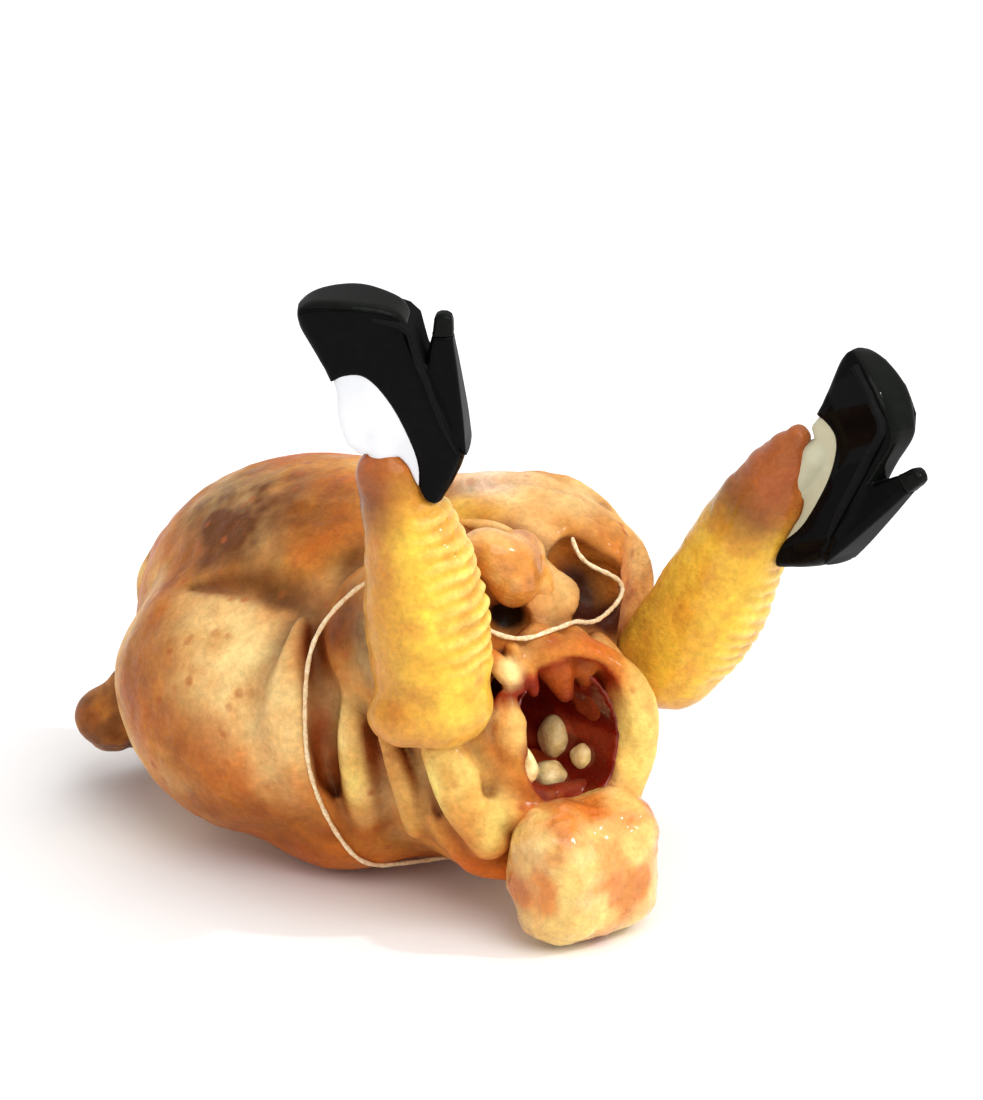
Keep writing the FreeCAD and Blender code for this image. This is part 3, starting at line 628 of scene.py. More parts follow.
# flesh left standing in the vent: route, radii, softness
VENT_FLESH = [
    ([(-28, -90, 84), (-30, -93, 76), (-29, -95, 67)], (4, 6.2, 5), 1.2),
    ([(-30, -84, 99), (-27, -88, 94), (-23, -90, 88)], (3.4, 4, 3.2), 1.2),
    ([(-22, -86, 100), (-19, -90, 93), (-16, -91, 86)], (3.2, 3.6, 2.6), 1.2),
    ([(-10, -86, 99), (-4, -90, 90), (-1, -91, 81)], (8, 6.4, 3), 3),
    ([(4, -88, 97), (7, -91, 90), (9, -90, 83)], (7, 5, 2.6), 3),
    ([(-20, -84, 48), (-10, -90, 44), (6, -92, 44)], (5, 5, 4), 3),
]


def sculpt_torso(step):
    """Distance field of the whole torso, its vent open and the leg sockets clear."""
    sculpt = Sculpt(TORSO.low - 9, TORSO.high + 9, step)
    for centre, radii, blend in TORSO_MASSES:
        sculpt.ellipsoid(TORSO.at(*centre), np.array(radii) * TORSO.scale, blend)
    for route, radii, blend in TORSO_FOLDS:
        run = through([(*place, radius) for place, radius in zip(route, radii)], 4)
        sculpt.chain(TORSO.route(run[:, :3]), run[:, 3], blend)
    for route, radii, blend in TORSO_GROOVES:
        sculpt.chain(TORSO.route(route), radii, blend, carve=True)
    for side in SIDES:
        clear_leg(sculpt, side)
    for centre, radii in VENT:
        sculpt.ellipsoid(TORSO.at(*centre), radii, 3, carve=True)
    for route, radii, blend in VENT_FLESH:
        sculpt.chain(TORSO.route(route), radii, blend)
    sculpt.cut_below(TORSO.low[2] + 0.15)
    return sculpt


def clear_leg(sculpt, side):
    """Carves the space that one drumstick needs at the end of its travel nearest the torso."""
    knee, across, ahead, up, _ = leg_axes(side)
    turn = math.radians(JOINTS[f"{side}_knee"]["range_deg"][0])
    aim = up * math.cos(turn) - ahead * math.sin(turn)
    swung = ahead * math.cos(turn) + up * math.sin(turn)
    aside = unit(MUSCLE_SIDE[side])
    aside = across * (aside @ across) + swung * (aside @ ahead) + aim * (aside @ up)
    for (places, radii), gap in [(bone_run(side, aim), BONE_GAP), (muscle_run(side, aim, aside), MUSCLE_GAP)]:
        sculpt.chain(places, np.array(radii) + gap, 1.5, carve=True)
    sculpt.ellipsoid(calf_centre(knee, across, swung, aim), np.array(CALF) + CALF_GAP, 1.5,
                     axes=(across, swung, aim), carve=True)


def paint_torso(sculpt, points, slopes):
    """Painted colours of the skin, with painted shade in the folds, grooves and hollows and the vent's right
    lip painted pale, partly as painted light.
    """
    soft = layered(TONE, points, 34, 3)
    fine = layered(FINE, points, 9, 3)
    tint = mottled(points, TAN, (CREAM, soft * 1.1, 0.75), (ORANGE, -soft * 1.1, 0.7),
                   (RUST, fine * 1.2 - 0.62, 0.35))
    for centre, radii, colour, strength in PATCHES:
        tint = mix(tint, colour, blob(points, TORSO.at(*centre), radii) * strength * (0.8 + 0.35 * fine))
    # painted shade in the creases, kept off the vent's right lip, which is painted as lit
    shade = hollow_shade(sculpt, points, slopes, 7.0) - blob(points, TORSO.at(18, -106, 62), (14, 12, 36))
    tint = mix(tint, RUST, (shade - 0.12) * 1.1)
    # darker painted shade in the narrowest creases
    tint = mix(tint, DEEP_SHADE, (hollow_shade(sculpt, points, slopes, 3.2) - 0.12) * 0.9)
    vent = np.full(len(points), FAR)
    for centre, radii in VENT:
        away = np.linalg.norm((points - TORSO.at(*centre)) / np.array(radii, float), axis=1)
        vent = np.minimum(vent, (away - 1) * min(radii))
    flesh = linear(176, 62, 26) * (1 + 0.5 * fine[:, None])
    tint = mix(tint, mix(flesh, RED, 0.5 - vent * 0.35), 0.9 - vent * 0.6, 0.95)
    for centre, radii, colour, strength in LAST_PATCHES:
        tint = mix(tint, colour, blob(points, TORSO.at(*centre), radii) * strength)
    return tint


def torso_piece(material):
    """Skin of the whole torso, and the distance field that it is made from."""
    sculpt = sculpt_torso(1.5)
    points, faces, slopes = sculpt.skin()
    open_skin = 1 - hollow_shade(sculpt, points, slopes, 3.0)[:, None]
    lift = (0.75 * layered(ROUGH, points, 21, 2) + 0.34 * layered(FINE, points, (6.5, 6.5, 8.5), 2))[:, None]
    wrinkled = blob(points, TORSO.at(44, -52, 122), (30, 32, 30))[:, None]
    lift = lift + wrinkled * 0.9 * FINE(points + points[:, [1, 2, 0]] * 0.5, (3.4, 9, 9))[:, None]
    across = points @ np.array((0.56, 0.4, -0.72)) + 3.2 * ROUGH(points, 15)
    lift = lift + wrinkled * 0.8 * np.sin(across * 2 * math.pi / 7.5)[:, None]
    ragged = blob(points, TORSO.at(-4, -92, 70), (44, 34, 48))[:, None]
    lift = lift + ragged * 1.9 * layered(ROUGH, points, 8, 2)[:, None]
    low = np.clip((points[:, 2:3] - TORSO.low[2]) / 4, 0, 1)
    moved = points + slopes * lift * open_skin * low
    piece = build_piece("torso_skin_moulded", moved, faces, material, paint_torso(sculpt, points, slopes))
    return piece, sculpt


# ---------------- body pieces beside the skin
# how far inside the skin's surface, in millimetres, the stuffing and the lining's edge lie
STUFFING_INSET, LINING_INSET = 6.5, 2.5
# the neck flap: radius, and how far it stands above the skin and reaches into it
FLAP_RADIUS, FLAP_ABOVE, FLAP_BELOW = 32, 2.6, 1.5


def stuffing_piece(torso, material):
    """Fibre stuffing a little inside the skin."""
    coarse, step = torso.field[::2, ::2, ::2], 2 * torso.step
    core = Sculpt(torso.low, torso.low + step * (np.array(coarse.shape) - 1), step)
    core.field = coarse + STUFFING_INSET
    points, faces, slopes = core.skin()
    points = points + slopes * 0.8 * layered(ROUGH, points, 9, 2)[:, None]
    return build_piece("torso_stuffing", points, faces, material)


def lining_piece(material):
    """Wet red lining of the body cavity, folded along its length."""
    low, high = node_box("cavity_liner")
    centre = TORSO.at(-6, -90, 67)
    lining = Sculpt(low - 4, high + 4, 1.3)
    lining.ellipsoid(centre, (22.6, 49.6, 27.2), 1)
    lining.ellipsoid(centre, (20.2, 47, 24.6), 1, carve=True)
    grid = np.stack(np.broadcast_arrays(*lining.mesh_grid()), axis=-1).reshape(-1, 3)
    depth = torso_hull(grid).reshape(lining.field.shape)
    lining.field = smooth_max(lining.field, depth + LINING_INSET, 1.5)
    points, faces, slopes = lining.skin()
    folds = 0.9 * ROUGH(points, (7, 30, 7)) + 0.35 * FINE(points, (3.2, 9, 3.2))
    points = points + slopes * np.clip(folds, -1.4, 0.9)[:, None]
    tint = mottled(points, RED, (linear(206, 92, 52), folds * 0.7, 0.6),
                   (linear(92, 14, 10), -folds * 0.9, 0.8),
                   (ORANGE, blob(points, TORSO.at(-12, -100, 44), (22, 16, 12)) * 0.6))
    return build_piece("cavity_lining", points, faces, material, tint)


def torso_hull(points):
    """Distance from the torso's plain masses, with no vent in them."""
    best = np.full(len(points), FAR)
    for centre, radii, _ in TORSO_MASSES[:4]:
        radii = np.array(radii) * TORSO.scale
        away = points - TORSO.at(*centre)
        near = np.linalg.norm(away / radii, axis=1)
        far = np.linalg.norm(away / radii**2, axis=1)
        best = np.minimum(best, near * (near - 1) / np.maximum(far, 1e-6))
    return best


# how the fat lumps differ from their CAD solids: moved forward in millimetres, and smaller
FAT_SHIFT = (0, -5, 0)
FAT_SIZE = 0.86


def fat_lump(label, material):
    """Pale glossy lump of fat on the cavity wall."""
    low, high = node_box(f"cavity_lump_{label}")
    centre, half = (low + high) / 2 + FAT_SHIFT, (high - low) / 2 * FAT_SIZE
    lump = Sculpt(centre - half - 4, centre + half + 4, 0.6)
    lump.ellipsoid(centre, half, 1)
    for turn in np.linspace(0.4, 5.6, 4):
        aim = np.array((math.cos(turn), math.sin(turn), 0.35 * math.sin(3 * turn)))
        lump.ellipsoid(centre + aim * half * 0.62, half * 0.45, 2)
    points, faces, slopes = lump.skin()
    bumps = FINE(points, 2.6)
    points = points + slopes * 0.28 * bumps[:, None]
    tint = mottled(points, linear(255, 234, 168), (GOLD, -bumps * 0.6, 0.6))
    return build_piece(f"cavity_fat_{label}", points, faces, material, tint)


# lobes of the tail, in halves of its box: offset from its centre, radii
TAIL_MASSES = [
    ((0, 0, 0), (0.97, 0.95, 0.93)), ((0.42, -0.12, -0.2), (0.56, 0.8, 0.76)),
    ((-0.45, -0.1, -0.15), (0.53, 0.82, 0.76)), ((0.5, 0.1, 0.42), (0.44, 0.6, 0.5)),
    ((-0.42, 0.1, 0.4), (0.5, 0.66, 0.52)), ((0, -0.2, -0.62), (0.8, 0.66, 0.36)),
    ((-0.6, -0.2, 0.46), (0.38, 0.6, 0.4)), ((0.6, -0.2, 0.42), (0.38, 0.6, 0.44)),
    ((-0.55, -0.2, -0.5), (0.4, 0.6, 0.4)), ((0.58, -0.2, -0.48), (0.38, 0.6, 0.42)),
]
# its carved notch and mouth: route in halves of its box, radii, softness
TAIL_GROOVES = [
    ([(0.12, -1.05, 0.75), (0.08, -0.6, 1.0), (0.02, 0.1, 1.05)], (1.5, 3, 4), 4),
    ([(-0.2, -1.1, -0.1), (0.1, -1.15, 0.1), (0.35, -1.1, 0)], (0.8, 1.2, 0.8), 3),
]


def tail_piece(material):
    """Boxy tail lobe with a notch and a wet, lumpy face."""
    low, high = node_box("tail_lobe")
    centre, half = (low + high) / 2 + (-1, 3, 0.8), (high - low) / 2
    tail = Sculpt(low - 6, high + 8, 1.0)
    for offset, size in TAIL_MASSES:
        tail.ellipsoid(centre + half * offset, half * size, 5)
    for route, radii, blend in TAIL_GROOVES:
        tail.chain([centre + half * offset for offset in route], radii, blend, carve=True)
    tail.cut_below(TORSO.low[2] + 0.2, 3)
    points, faces, slopes = tail.skin()
    bumps = layered(ROUGH, points, 7, 3)
    low_fade = np.clip((points[:, 2] - TORSO.low[2]) / 4, 0, 1)
    moved = points + slopes * (0.75 * bumps * low_fade)[:, None]
    rim = np.clip(1.6 * np.abs((points[:, 0] - centre[0]) / half[0]) - 1.0, 0, 1)
    tint = mottled(points, linear(240, 206, 120), (CREAM, bumps, 0.7),
                   (ORANGE, -layered(TONE, points, 12, 2) * 1.2, 0.75), (RUST, rim * 0.45),
                   (ORANGE, blob(points, centre + half * (0, -0.4, 1.0), half * 0.9) * 0.7))
    return build_piece("tail_lobe_moulded", moved, faces, material, tint)


def keel_piece(material):
    """Glossy orange lump at the end of the keel."""
    low, high = node_box("keel_lump")
    keel = Sculpt(low - 8, high + 8, 0.9)
    for offset, radii, blend in [((-4, -5, 2), (10, 9.5, 12), 1), ((-11, 1, 10), (9.5, 11, 8), 5),
                                 ((6, -9, -5), (4, 4, 9), 2), ((4, 2, 6), (9, 9, 9), 6)]:
        keel.ellipsoid((low + high) / 2 + offset, radii, blend)
    points, faces, slopes = keel.skin()
    bumps = layered(ROUGH, points, 9, 2)
    tint = mottled(points, linear(224, 158, 72), (linear(244, 200, 120), bumps, 0.8),
                   (RUST, -bumps * 0.8, 0.5))
    return build_piece("keel_lump_moulded", points + slopes * 0.5 * bumps[:, None], faces, material, tint)


def wing_piece(side, material):
    """Folded wing: pointed elbow, forearm and a tip tucked under the neck end."""
    low, high = node_box(f"{side}_wing")
    outward, outer, inner = (-1, low, high) if side == "left" else (1, high, low)
    start = np.array((outer[0], low[1], low[2]))
    span = np.array((inner[0], high[1], high[2])) - start
    wing = Sculpt(low - 12, high + 12, 1.2)
    elbow, wrist = start + span * (0.21, 0.42, 0.52), start + span * (0.48, 0.8, 0.32)
    wing.chain([start + span * (0.6, 0.02, 0.95), start + span * (0.4, 0.18, 0.78),
                elbow + (-outward * 3, -2, 0)], (13, 12.5, 10.5), 6)
    wing.chain([elbow, elbow + (outward * 3.5, 2, 1)], (8.5, 5), 5)
    wing.chain([elbow, wrist], (10, 10), 6)
    wing.chain([wrist, start + span * (0.92, 0.86, 0.13)], (9.5, 5.5), 5)
    wing.cut_below(TORSO.low[2] + 1.0, 2)
    points, faces, slopes = wing.skin()
    bumps = layered(ROUGH, points, 8, 3)
    tint = mottled(points, linear(140, 86, 40), (TAN, bumps * 0.8, 0.6), (BROWN, -bumps * 0.9 + 0.1, 0.7))
    return build_piece(f"{side}_wing_moulded", points + slopes * 0.55 * bumps[:, None], faces, material, tint)


def neck_piece(torso, material):
    """Flap of neck skin folded over the neck end, with a wavy edge."""
    low, high = node_box("neck_flap")
    spans = torso.window(low - 8, high + 8)
    start = np.array([torso.ticks[i][spans[i].start] for i in range(3)])
    end = np.array([torso.ticks[i][spans[i].stop - 1] for i in range(3)])
    flap = Sculpt(start, end, torso.step)
    count = [min(a, b) for a, b in zip(flap.field.shape, torso.field[spans].shape)]
    near = torso.field[spans][:count[0], :count[1], :count[2]]
    flap.field = flap.field[:count[0], :count[1], :count[2]]
    x, _, z = flap.mesh_grid(tuple(slice(0, c) for c in count))
    centre = (low + high) / 2
    turn = np.arctan2(z - centre[2], x - centre[0])
    wave = 1 + 0.06 * np.sin(3 * turn + 0.6) + 0.04 * np.sin(7 * turn)
    patch = np.sqrt((x - centre[0])**2 + (z - centre[2])**2) - FLAP_RADIUS * wave
    flap.field = smooth_max(np.maximum(near - FLAP_ABOVE, -near - FLAP_BELOW), patch, 2)
    points, faces, slopes = flap.skin()
    folds = ROUGH(points, 9) + 0.5 * FINE(points, (3.5, 8, 8))
    tint = mottled(points, linear(222, 176, 112), (CREAM, folds, 0.7), (RUST, -folds * 0.7, 0.5))
    return build_piece("neck_flap_moulded", points + slopes * 0.5 * folds[:, None], faces, material, tint)


# ---------------- legs
def drumstick_piece(side, material):
    """Drumstick with rolled ridges down one side, a dimple and a darker ankle, with painted highlights on the
    ridge crests and painted shade in the troughs and on the side away from the ridges.
    """
    knee, across, ahead, up, _ = leg_axes(side)
    axes, aside = (across, ahead, up), unit(MUSCLE_SIDE[side])
    low, high = node_box(f"{side}_drumstick")
    leg = Sculpt(low - 9, high + (9, 9, 26), 0.85)
    leg.chain(*bone_run(side, up), 3)
    leg.ellipsoid(calf_centre(knee, *axes), CALF, 8, axes=axes)
    leg.chain(*muscle_run(side, up, aside), 4)
    if side == "right":
        leg.chain([knee + up * 80 + aside * 2, knee + up * 94 + aside * 3.5], (9, 5.5), 4)
    else:
        leg.ellipsoid(knee - across * 12 + ahead * 2 - up * 4, (13.5, 14, 11), 4, axes=axes)
        leg.ellipsoid(knee - across * 1 - ahead * 8 - up * 8, (15, 11, 9), 5, axes=axes)
    leg.chain([knee + up * 10 + across * 21.5 - ahead * 9, knee + up * 11 + across * 15 - ahead * 7],
              (0.6, 1.0), 1.5, carve=True)
    points, faces, slopes = leg.skin()
    from_knee = points - knee
    rise = from_knee @ up
    turn = np.arctan2(from_knee @ ahead, from_knee @ across)
    facing = np.clip(np.cos(turn - math.radians(-42)) * 1.5 - 0.35, 0, 1)
    band = np.clip((rise - 4) / 12, 0, 1) * np.clip((78 - rise) / 14, 0, 1)
    warp = 1.4 * ROUGH(points, 16) + 0.6 * FINE(points, 7)
    ridge = np.sin((rise + warp) * 2 * math.pi / RIDGE_PITCH)
    ridge = np.sign(ridge) * np.abs(ridge)**0.8
    bumps = layered(ROUGH, points, 8, 3)
    lift = 0.55 * ridge * facing * band + 0.42 * bumps
    away = np.clip(np.cos(turn - math.radians(165)) * 1.4 - 0.25, 0, 1)
    ankle = np.clip((rise - 58) / 18, 0, 1)
    tint = mottled(
        points, YELLOW,
        # painted highlights on the ridge crests
        (GOLD, np.clip(facing * (0.45 + 0.55 * ridge), 0, 0.8) * band),
        # darker tan in the dips of the bumps
        (linear(214, 146, 56), -bumps * 0.7 - 0.1, 0.5),
        # painted shade in the troughs between the ridges
        (linear(204, 132, 56), np.clip(-ridge, 0, 1) * facing * band * 0.35),
        # painted shade on the side of the leg turned away from the ridges
        (linear(188, 108, 40), away * (0.65 if side == "left" else 0.2)),
        # the ankle's own darker tone
        (linear(196, 122, 48), ankle * 0.6),
        # painted shade on that side near the ankle
        (linear(98, 46, 20), ankle * away * 0.8),
        # browner towards the ankle end and tan at the knee end
        (linear(176, 92, 44), np.clip((rise - 72) / 14, 0, 1) * 0.75),
        (linear(206, 150, 78), np.clip((2 - rise) / 14, 0, 1) * 0.6))
    return build_piece(f"{side}_drumstick_moulded", points + slopes * lift[:, None], faces, material, tint)


# ---------------- shoes
# shoe frame in millimetres: X to the heel, Z up from the ground; outlines are (x, z)
# the ground's tilt from square to the leg in degrees, the ankle's (x, z), the corners of the shoe's grid
SHOE_TILT = 32
SHOE_ANKLE = (-3.2, 55.6)
SHOE_GRID = ((-54.0, -18.0, -8.0), (26.0, 18.0, 68.0))
TREAD = [
    (-46.8, 9.4), (-40.4, 4.2), (-30, 0), (-19, -1.3), (-13.4, 0.6), (-7.2, 8.4), (-1.7, 14.8), (8, 25.4),
    (19.3, 37),
]
BACK = [(20.2, 44), (19.6, 53), (16.4, 61.3)]
FRONT_EDGE = [
    (7.6, 59.4), (6.6, 52), (3.2, 44.5), (-5.5, 35), (-14, 28), (-20, 25.2), (-25, 26.6), (-28.6, 29.4),
]
VAMP = [(-31.8, 25.8), (-34.8, 23.2), (-38.8, 19.6), (-43.4, 15.6), (-46.6, 12)]
HEEL = [(-1.9, 14.6), (-2.8, 9), (-3.3, 3), (-4.0, -2.4), (0.6, -3.6), (3.4, 3.0), (7.3, 10.8), (11.5, 19.5),
        (15.5, 28), (19.4, 37.4), (8, 26)]
INSERT = [(-17.8, 49.5), (-22.4, 42.5), (-26.2, 32.4)]
# how each moulded shoe sits on its leg: slide up the leg, size, turn in degrees about SHOE_TURN_AXIS
SHOE_SEAT = {"left": (0.0, 1.05, 4.5), "right": (-6.2, 1.07, -1.5)}
SHOE_TURN_AXIS = (-0.600, -0.715, 0.358)
# the place in the shoe frame that stays put when a shoe is sized and turned: the top of its heel end
SHOE_PIVOT = (16, 0, 61)
# share of the plan's width
SHOE_WIDTH = {"left": 0.87, "right": 0.74}
# turns of the shoe, in degrees, at which its collar clears the leg
ANKLE_TURNS = (-25, -12, 0, 12, 25)
# boss of the insert round the ankle sleeve: from and to, up the leg from the knee, and radius
BOSS = (84, 102, 6.2)
# outline seen from above: (x, half width)
PLAN = [(-47.6, 0), (-47, 3.6), (-45.6, 7.4), (-41, 10.4), (-34, 12.6), (-27, 12.9), (-18, 10.6), (-8, 9.4),
        (2, 11.2), (9, 12.6), (14, 12.2), (18, 9.6), (20.4, 5.4), (21.2, 0)]


def shoe_axes(side):
    """Shoe frame from the ankle, the leg's axis and the heel tip: origin, X to the heel, Y, Z up."""
    knee, _, _, up, length = leg_axes(side)
    ankle = knee + up * length
    low, high = node_box(f"{side}_heel_tip")
    tip = (low + high) / 2 - ankle
    square = unit(tip - up * tip.dot(up))
    tilt = math.radians(SHOE_TILT)
    rise = -up * math.cos(tilt) - square * math.sin(tilt)
    heelward = -up * math.sin(tilt) + square * math.cos(tilt)
    origin = ankle - heelward * SHOE_ANKLE[0] - rise * SHOE_ANKLE[1]
    return origin, heelward, np.cross(rise, heelward), rise


def outline_distance(first, second, corners):
    """Signed distance to a closed outline on a grid of two coordinates."""
    u, v = np.meshgrid(first, second, indexing="ij")
    best = np.full(u.shape, 1e9)
    inside = np.zeros(u.shape, bool)
    for a, b in zip(corners, np.roll(corners, -1, axis=0)):
        run = b - a
        along = np.clip(((u - a[0]) * run[0] + (v - a[1]) * run[1]) / max(run.dot(run), 1e-9), 0, 1)
        best = np.minimum(best, (u - a[0] - along * run[0])**2 + (v - a[1] - along * run[1])**2)
        crosses = (a[1] > v) != (b[1] > v)
        slant = a[0] + (v - a[1]) * run[0] / (run[1] if abs(run[1]) > 1e-9 else 1e-9)
        inside ^= crosses & (u < slant)
    return np.where(inside, -1, 1) * np.sqrt(best)


class ShoeForm:
    """Grid in the shoe frame with the distances that every shoe piece is cut from."""

    def __init__(self, side, step):
        self.sculpt = Sculpt(*SHOE_GRID, step)
        self.x, self.y, self.z = self.sculpt.mesh_grid()
        ticks = self.sculpt.ticks
        mirrored = [(x, -w) for x, w in reversed(PLAN[1:-1])]
        plan = through(PLAN + mirrored + PLAN[:1], 6) * (1, SHOE_WIDTH[side])
        self.plan = outline_distance(ticks[0], ticks[1], plan)[:, :, None]
        tread = through(TREAD, 6)
        ground = np.interp(ticks[0], tread[:, 0], tread[:, 1])
        self.rise = np.clip(self.z - ground[:, None, None], 0, FAR)
        origin, heelward, left, rise = shoe_axes(side)
        slide, self.size, turn = SHOE_SEAT[side]
        self.axes = np.array((heelward, left, rise))
        self.pivot = origin + np.array(SHOE_PIVOT) @ self.axes + leg_axes(side)[3] * slide
        self.spin = np.array(Matrix.Rotation(math.radians(turn), 3, Vector(SHOE_TURN_AXIS)))
        self.collar = self.leg_distance(side)

    def leg_distance(self, side):
        """Distance from the leg that the shoe is on, in the shoe frame."""
        up = leg_axes(side)[3]
        runs = [bone_run(side, up, 3)]
        for turn in ANKLE_TURNS:
            aside = Matrix.Rotation(math.radians(turn), 3, Vector(up)) @ Vector(unit(MUSCLE_SIDE[side]))
            runs.append(muscle_run(side, up, np.array(aside), 2))
        return self.along_leg(runs, BONE_GAP)

    def along_leg(self, runs, gap):
        """Distance from runs of spheres placed in the object's frame, in the shoe frame."""
        room = Sculpt(*SHOE_GRID, self.sculpt.step)
        for places, radii in runs:
            seen = ((np.array(places) - self.pivot) @ self.spin / self.size) @ self.axes.T + SHOE_PIVOT
            room.chain(seen, np.array(radii) / self.size + gap, 1)
        return room.field

    def side(self, corners):
        """Distance to a side outline, the same across the shoe."""
        return outline_distance(self.sculpt.ticks[0], self.sculpt.ticks[2], np.array(corners))[:, None, :]

    def surface(self, field):
        """Points in the object's frame and faces of a field's zero surface."""
        self.sculpt.field = np.broadcast_to(field, self.sculpt.field.shape).astype(np.float32)
        points, faces = self.sculpt.surface()
        return self.pivot + self.size * ((points - SHOE_PIVOT) @ self.axes) @ self.spin.T, faces


def upright(points, height):
    """A run of outline points moved along its upward normal."""
    p = np.array(points, float)
    run = unit_rows(np.gradient(p, axis=0))
    return p + height * np.stack([-run[:, 1], run[:, 0]], axis=1)


def shoe_pieces(side, materials):
    """The moulded shoe's visible pieces, each with its finish and the CAD nodes it stands for."""
    form = ShoeForm(side, 0.55)
    tread, back, edge, vamp = through(TREAD, 6), through(BACK, 5), through(FRONT_EDGE, 5), through(VAMP, 5)
    outer = np.vstack([tread, back, edge, vamp])
    # the room for the foot: 2.6 mm above the tread, open at the top
    hollow = np.vstack([upright(tread, 2.6)[4:-3], [(18.0, 41)], back[:8] - (1.6, 0), [(14.6, 72), (-30, 72)],
                        [(-24.6, 31.4)], vamp[3:-3] + (1.4, -1.4)])
    # the sides lean in above the ground
    taper = 0.17 * np.clip(form.rise, 0, 20)
    body = smooth_max(form.side(outer), form.plan + taper, 4.5)
    room = smooth_max(form.side(hollow), form.plan + 1.8 + taper, 5.0)
    # the heel widens upwards, and a slanted plane parts its tip from it
    across = np.abs(form.y) - (2.9 + 0.19 * np.clip(form.z, 0, 45))
    heel = smooth_max(form.side(through(HEEL[:10], 3).tolist() + HEEL[10:]), across, 2.0)
    above_tip = form.z + 0.35 * form.x - 3.4
    shell = smooth_max(smooth_min(body, smooth_max(heel, -above_tip, 0.3), 2.0), -room, 0.8)
    shell = smooth_max(shell, -form.collar, 0.8)
    tip = smooth_max(heel - 0.1, above_tip + 0.1, 0.4)
    # the outsole is the body's lowest 1.7 mm, hollow more than about 2 mm in from its edge
    hollow_sole = 1.2 - form.rise - 6 * (body + 2.2)
    sole = smooth_max(smooth_max(body - 0.2, form.rise - 1.7, 0.5), hollow_sole, 0.5)
    insert_side = np.vstack([upright(tread, 4.0)[5:-3], [(17.0, 40), (18.0, 48), (14.4, 59.8), (7.2, 60.4)],
                             through(INSERT, 4), vamp[3:-3] + (1.8, -1.8)])
    insert = smooth_max(form.side(insert_side), form.plan + 1.9 + 0.75 * taper, 4.5)
    insert = smooth_max(insert, -form.collar, 1.0)
    knee, _, _, up, _ = leg_axes(side)
    start, end, radius = BOSS
    boss = form.along_leg([([knee + up * start, knee + up * end], (radius, radius))], 0)
    insert = smooth_min(insert, boss, 1.5)
    made = []
    for label, nodes, field, finish, look in [
        ("shoe_shell_moulded", ("shoe_upper", "heel"), shell, "shoe_gloss", "shoe_gloss"),
        ("outsole_moulded", ("outsole",), sole, "sole_black", "sole_black"),
        ("heel_tip_moulded", ("heel_tip",), tip, "sole_black", "sole_black"),
        ("foot_insert_padded", ("foot_insert",), insert, "white_insert", f"{side}_insert"),
    ]:
        piece = build_piece(f"{side}_{label}", *form.surface(field), materials[look])
        made.append((piece, finish, [f"{side}_{node}" for node in nodes]))
    return made


# ---------------- truss band
# the band's route round the rear of the torso, as places in its nominal box
BAND_ROUTE = [
    (-23, -86, 98), (-42, -62.5, 128), (-61, -55, 129), (-75.5, -40.5, 107), (-67.5, -30.5, 85.5),
    (-71, -30, 62), (-63, -31, 39), (-45.5, -26.5, 19), (-23.5, -35.5, 6), (2, -45, 5.5),
    (26.5, -42.5, 11), (47, -34, 24.5), (65.5, -29.5, 40), (71.5, -28.5, 63), (69.5, -28.5, 88),
    (71, -35, 115.5), (57, -44, 131), (36, -50.5, 131.5), (26.5, -64.5, 116.5), (35, -73.5, 112),
    (39, -76.5, 108), (34.5, -75.5, 102.5), (20, -82, 101.5), (-2, -86, 101.5),
]
BAND_RADIUS = 0.8
# points along the band for each place of its route
BAND_STEPS = 16
# where along the route a fold of skin covers the band, over how many places, and how deep in millimetres
BAND_UNDER, BAND_SPAN, BAND_DEPTH = 17.3, 2.7, 3.4
# rounds that draw the band onto the skin, and rounds that then make it taut
BAND_PULLS, BAND_EASES = 40, 110


def band_piece(torso, material):
    """Taut elastic loop that lies on the skin and spans its hollows."""
    route = np.array(TORSO.route(BAND_ROUTE))
    line = through(np.vstack([route[-1:], route, route[:2]]), BAND_STEPS)[BAND_STEPS:-BAND_STEPS - 1]
    place_along = np.arange(len(line)) / BAND_STEPS
    height = BAND_RADIUS - BAND_DEPTH * np.clip(BAND_SPAN - np.abs(place_along - BAND_UNDER), 0, 1)
    for _ in range(BAND_PULLS):
        line = line - torso.slopes(line) * 0.3 * np.clip(torso.sample(line) - height, -2, 0.2)[:, None]
    for _ in range(BAND_EASES):
        line = 0.5 * line + 0.25 * (np.roll(line, 1, axis=0) + np.roll(line, -1, axis=0))
        line = line + torso.slopes(line) * np.clip(height - torso.sample(line), 0, 1.5)[:, None]
    line[:, 2] = np.maximum(line[:, 2], TORSO.low[2] + BAND_RADIUS + 0.3)
    ahead = unit_rows(np.roll(line, -1, axis=0) - np.roll(line, 1, axis=0))
    slopes = torso.slopes(line)
    out = unit_rows(slopes - ahead * np.sum(slopes * ahead, axis=1, keepdims=True))
    aside = np.cross(ahead, out)
    rings, around = len(line), 14
    turns = np.linspace(0, 2 * math.pi, around, endpoint=False)
    # the section is a little oval and twists along the band
    grow = 1 + 0.13 * np.cos(2 * (turns[None, :] - np.arange(rings)[:, None] * 0.55))
    circle = np.cos(turns)[None, :, None] * out[:, None, :] + np.sin(turns)[None, :, None] * aside[:, None, :]
    points = (line[:, None, :] + BAND_RADIUS * grow[:, :, None] * circle).reshape(-1, 3)
    ring = np.arange(rings * around).reshape(rings, around)
    following = np.roll(ring, -1, 0)
    faces = np.stack([following, np.roll(following, -1, 1), np.roll(ring, -1, 1), ring], axis=-1)
    return build_piece("truss_band_elastic", points, faces.reshape(-1, 4), material)


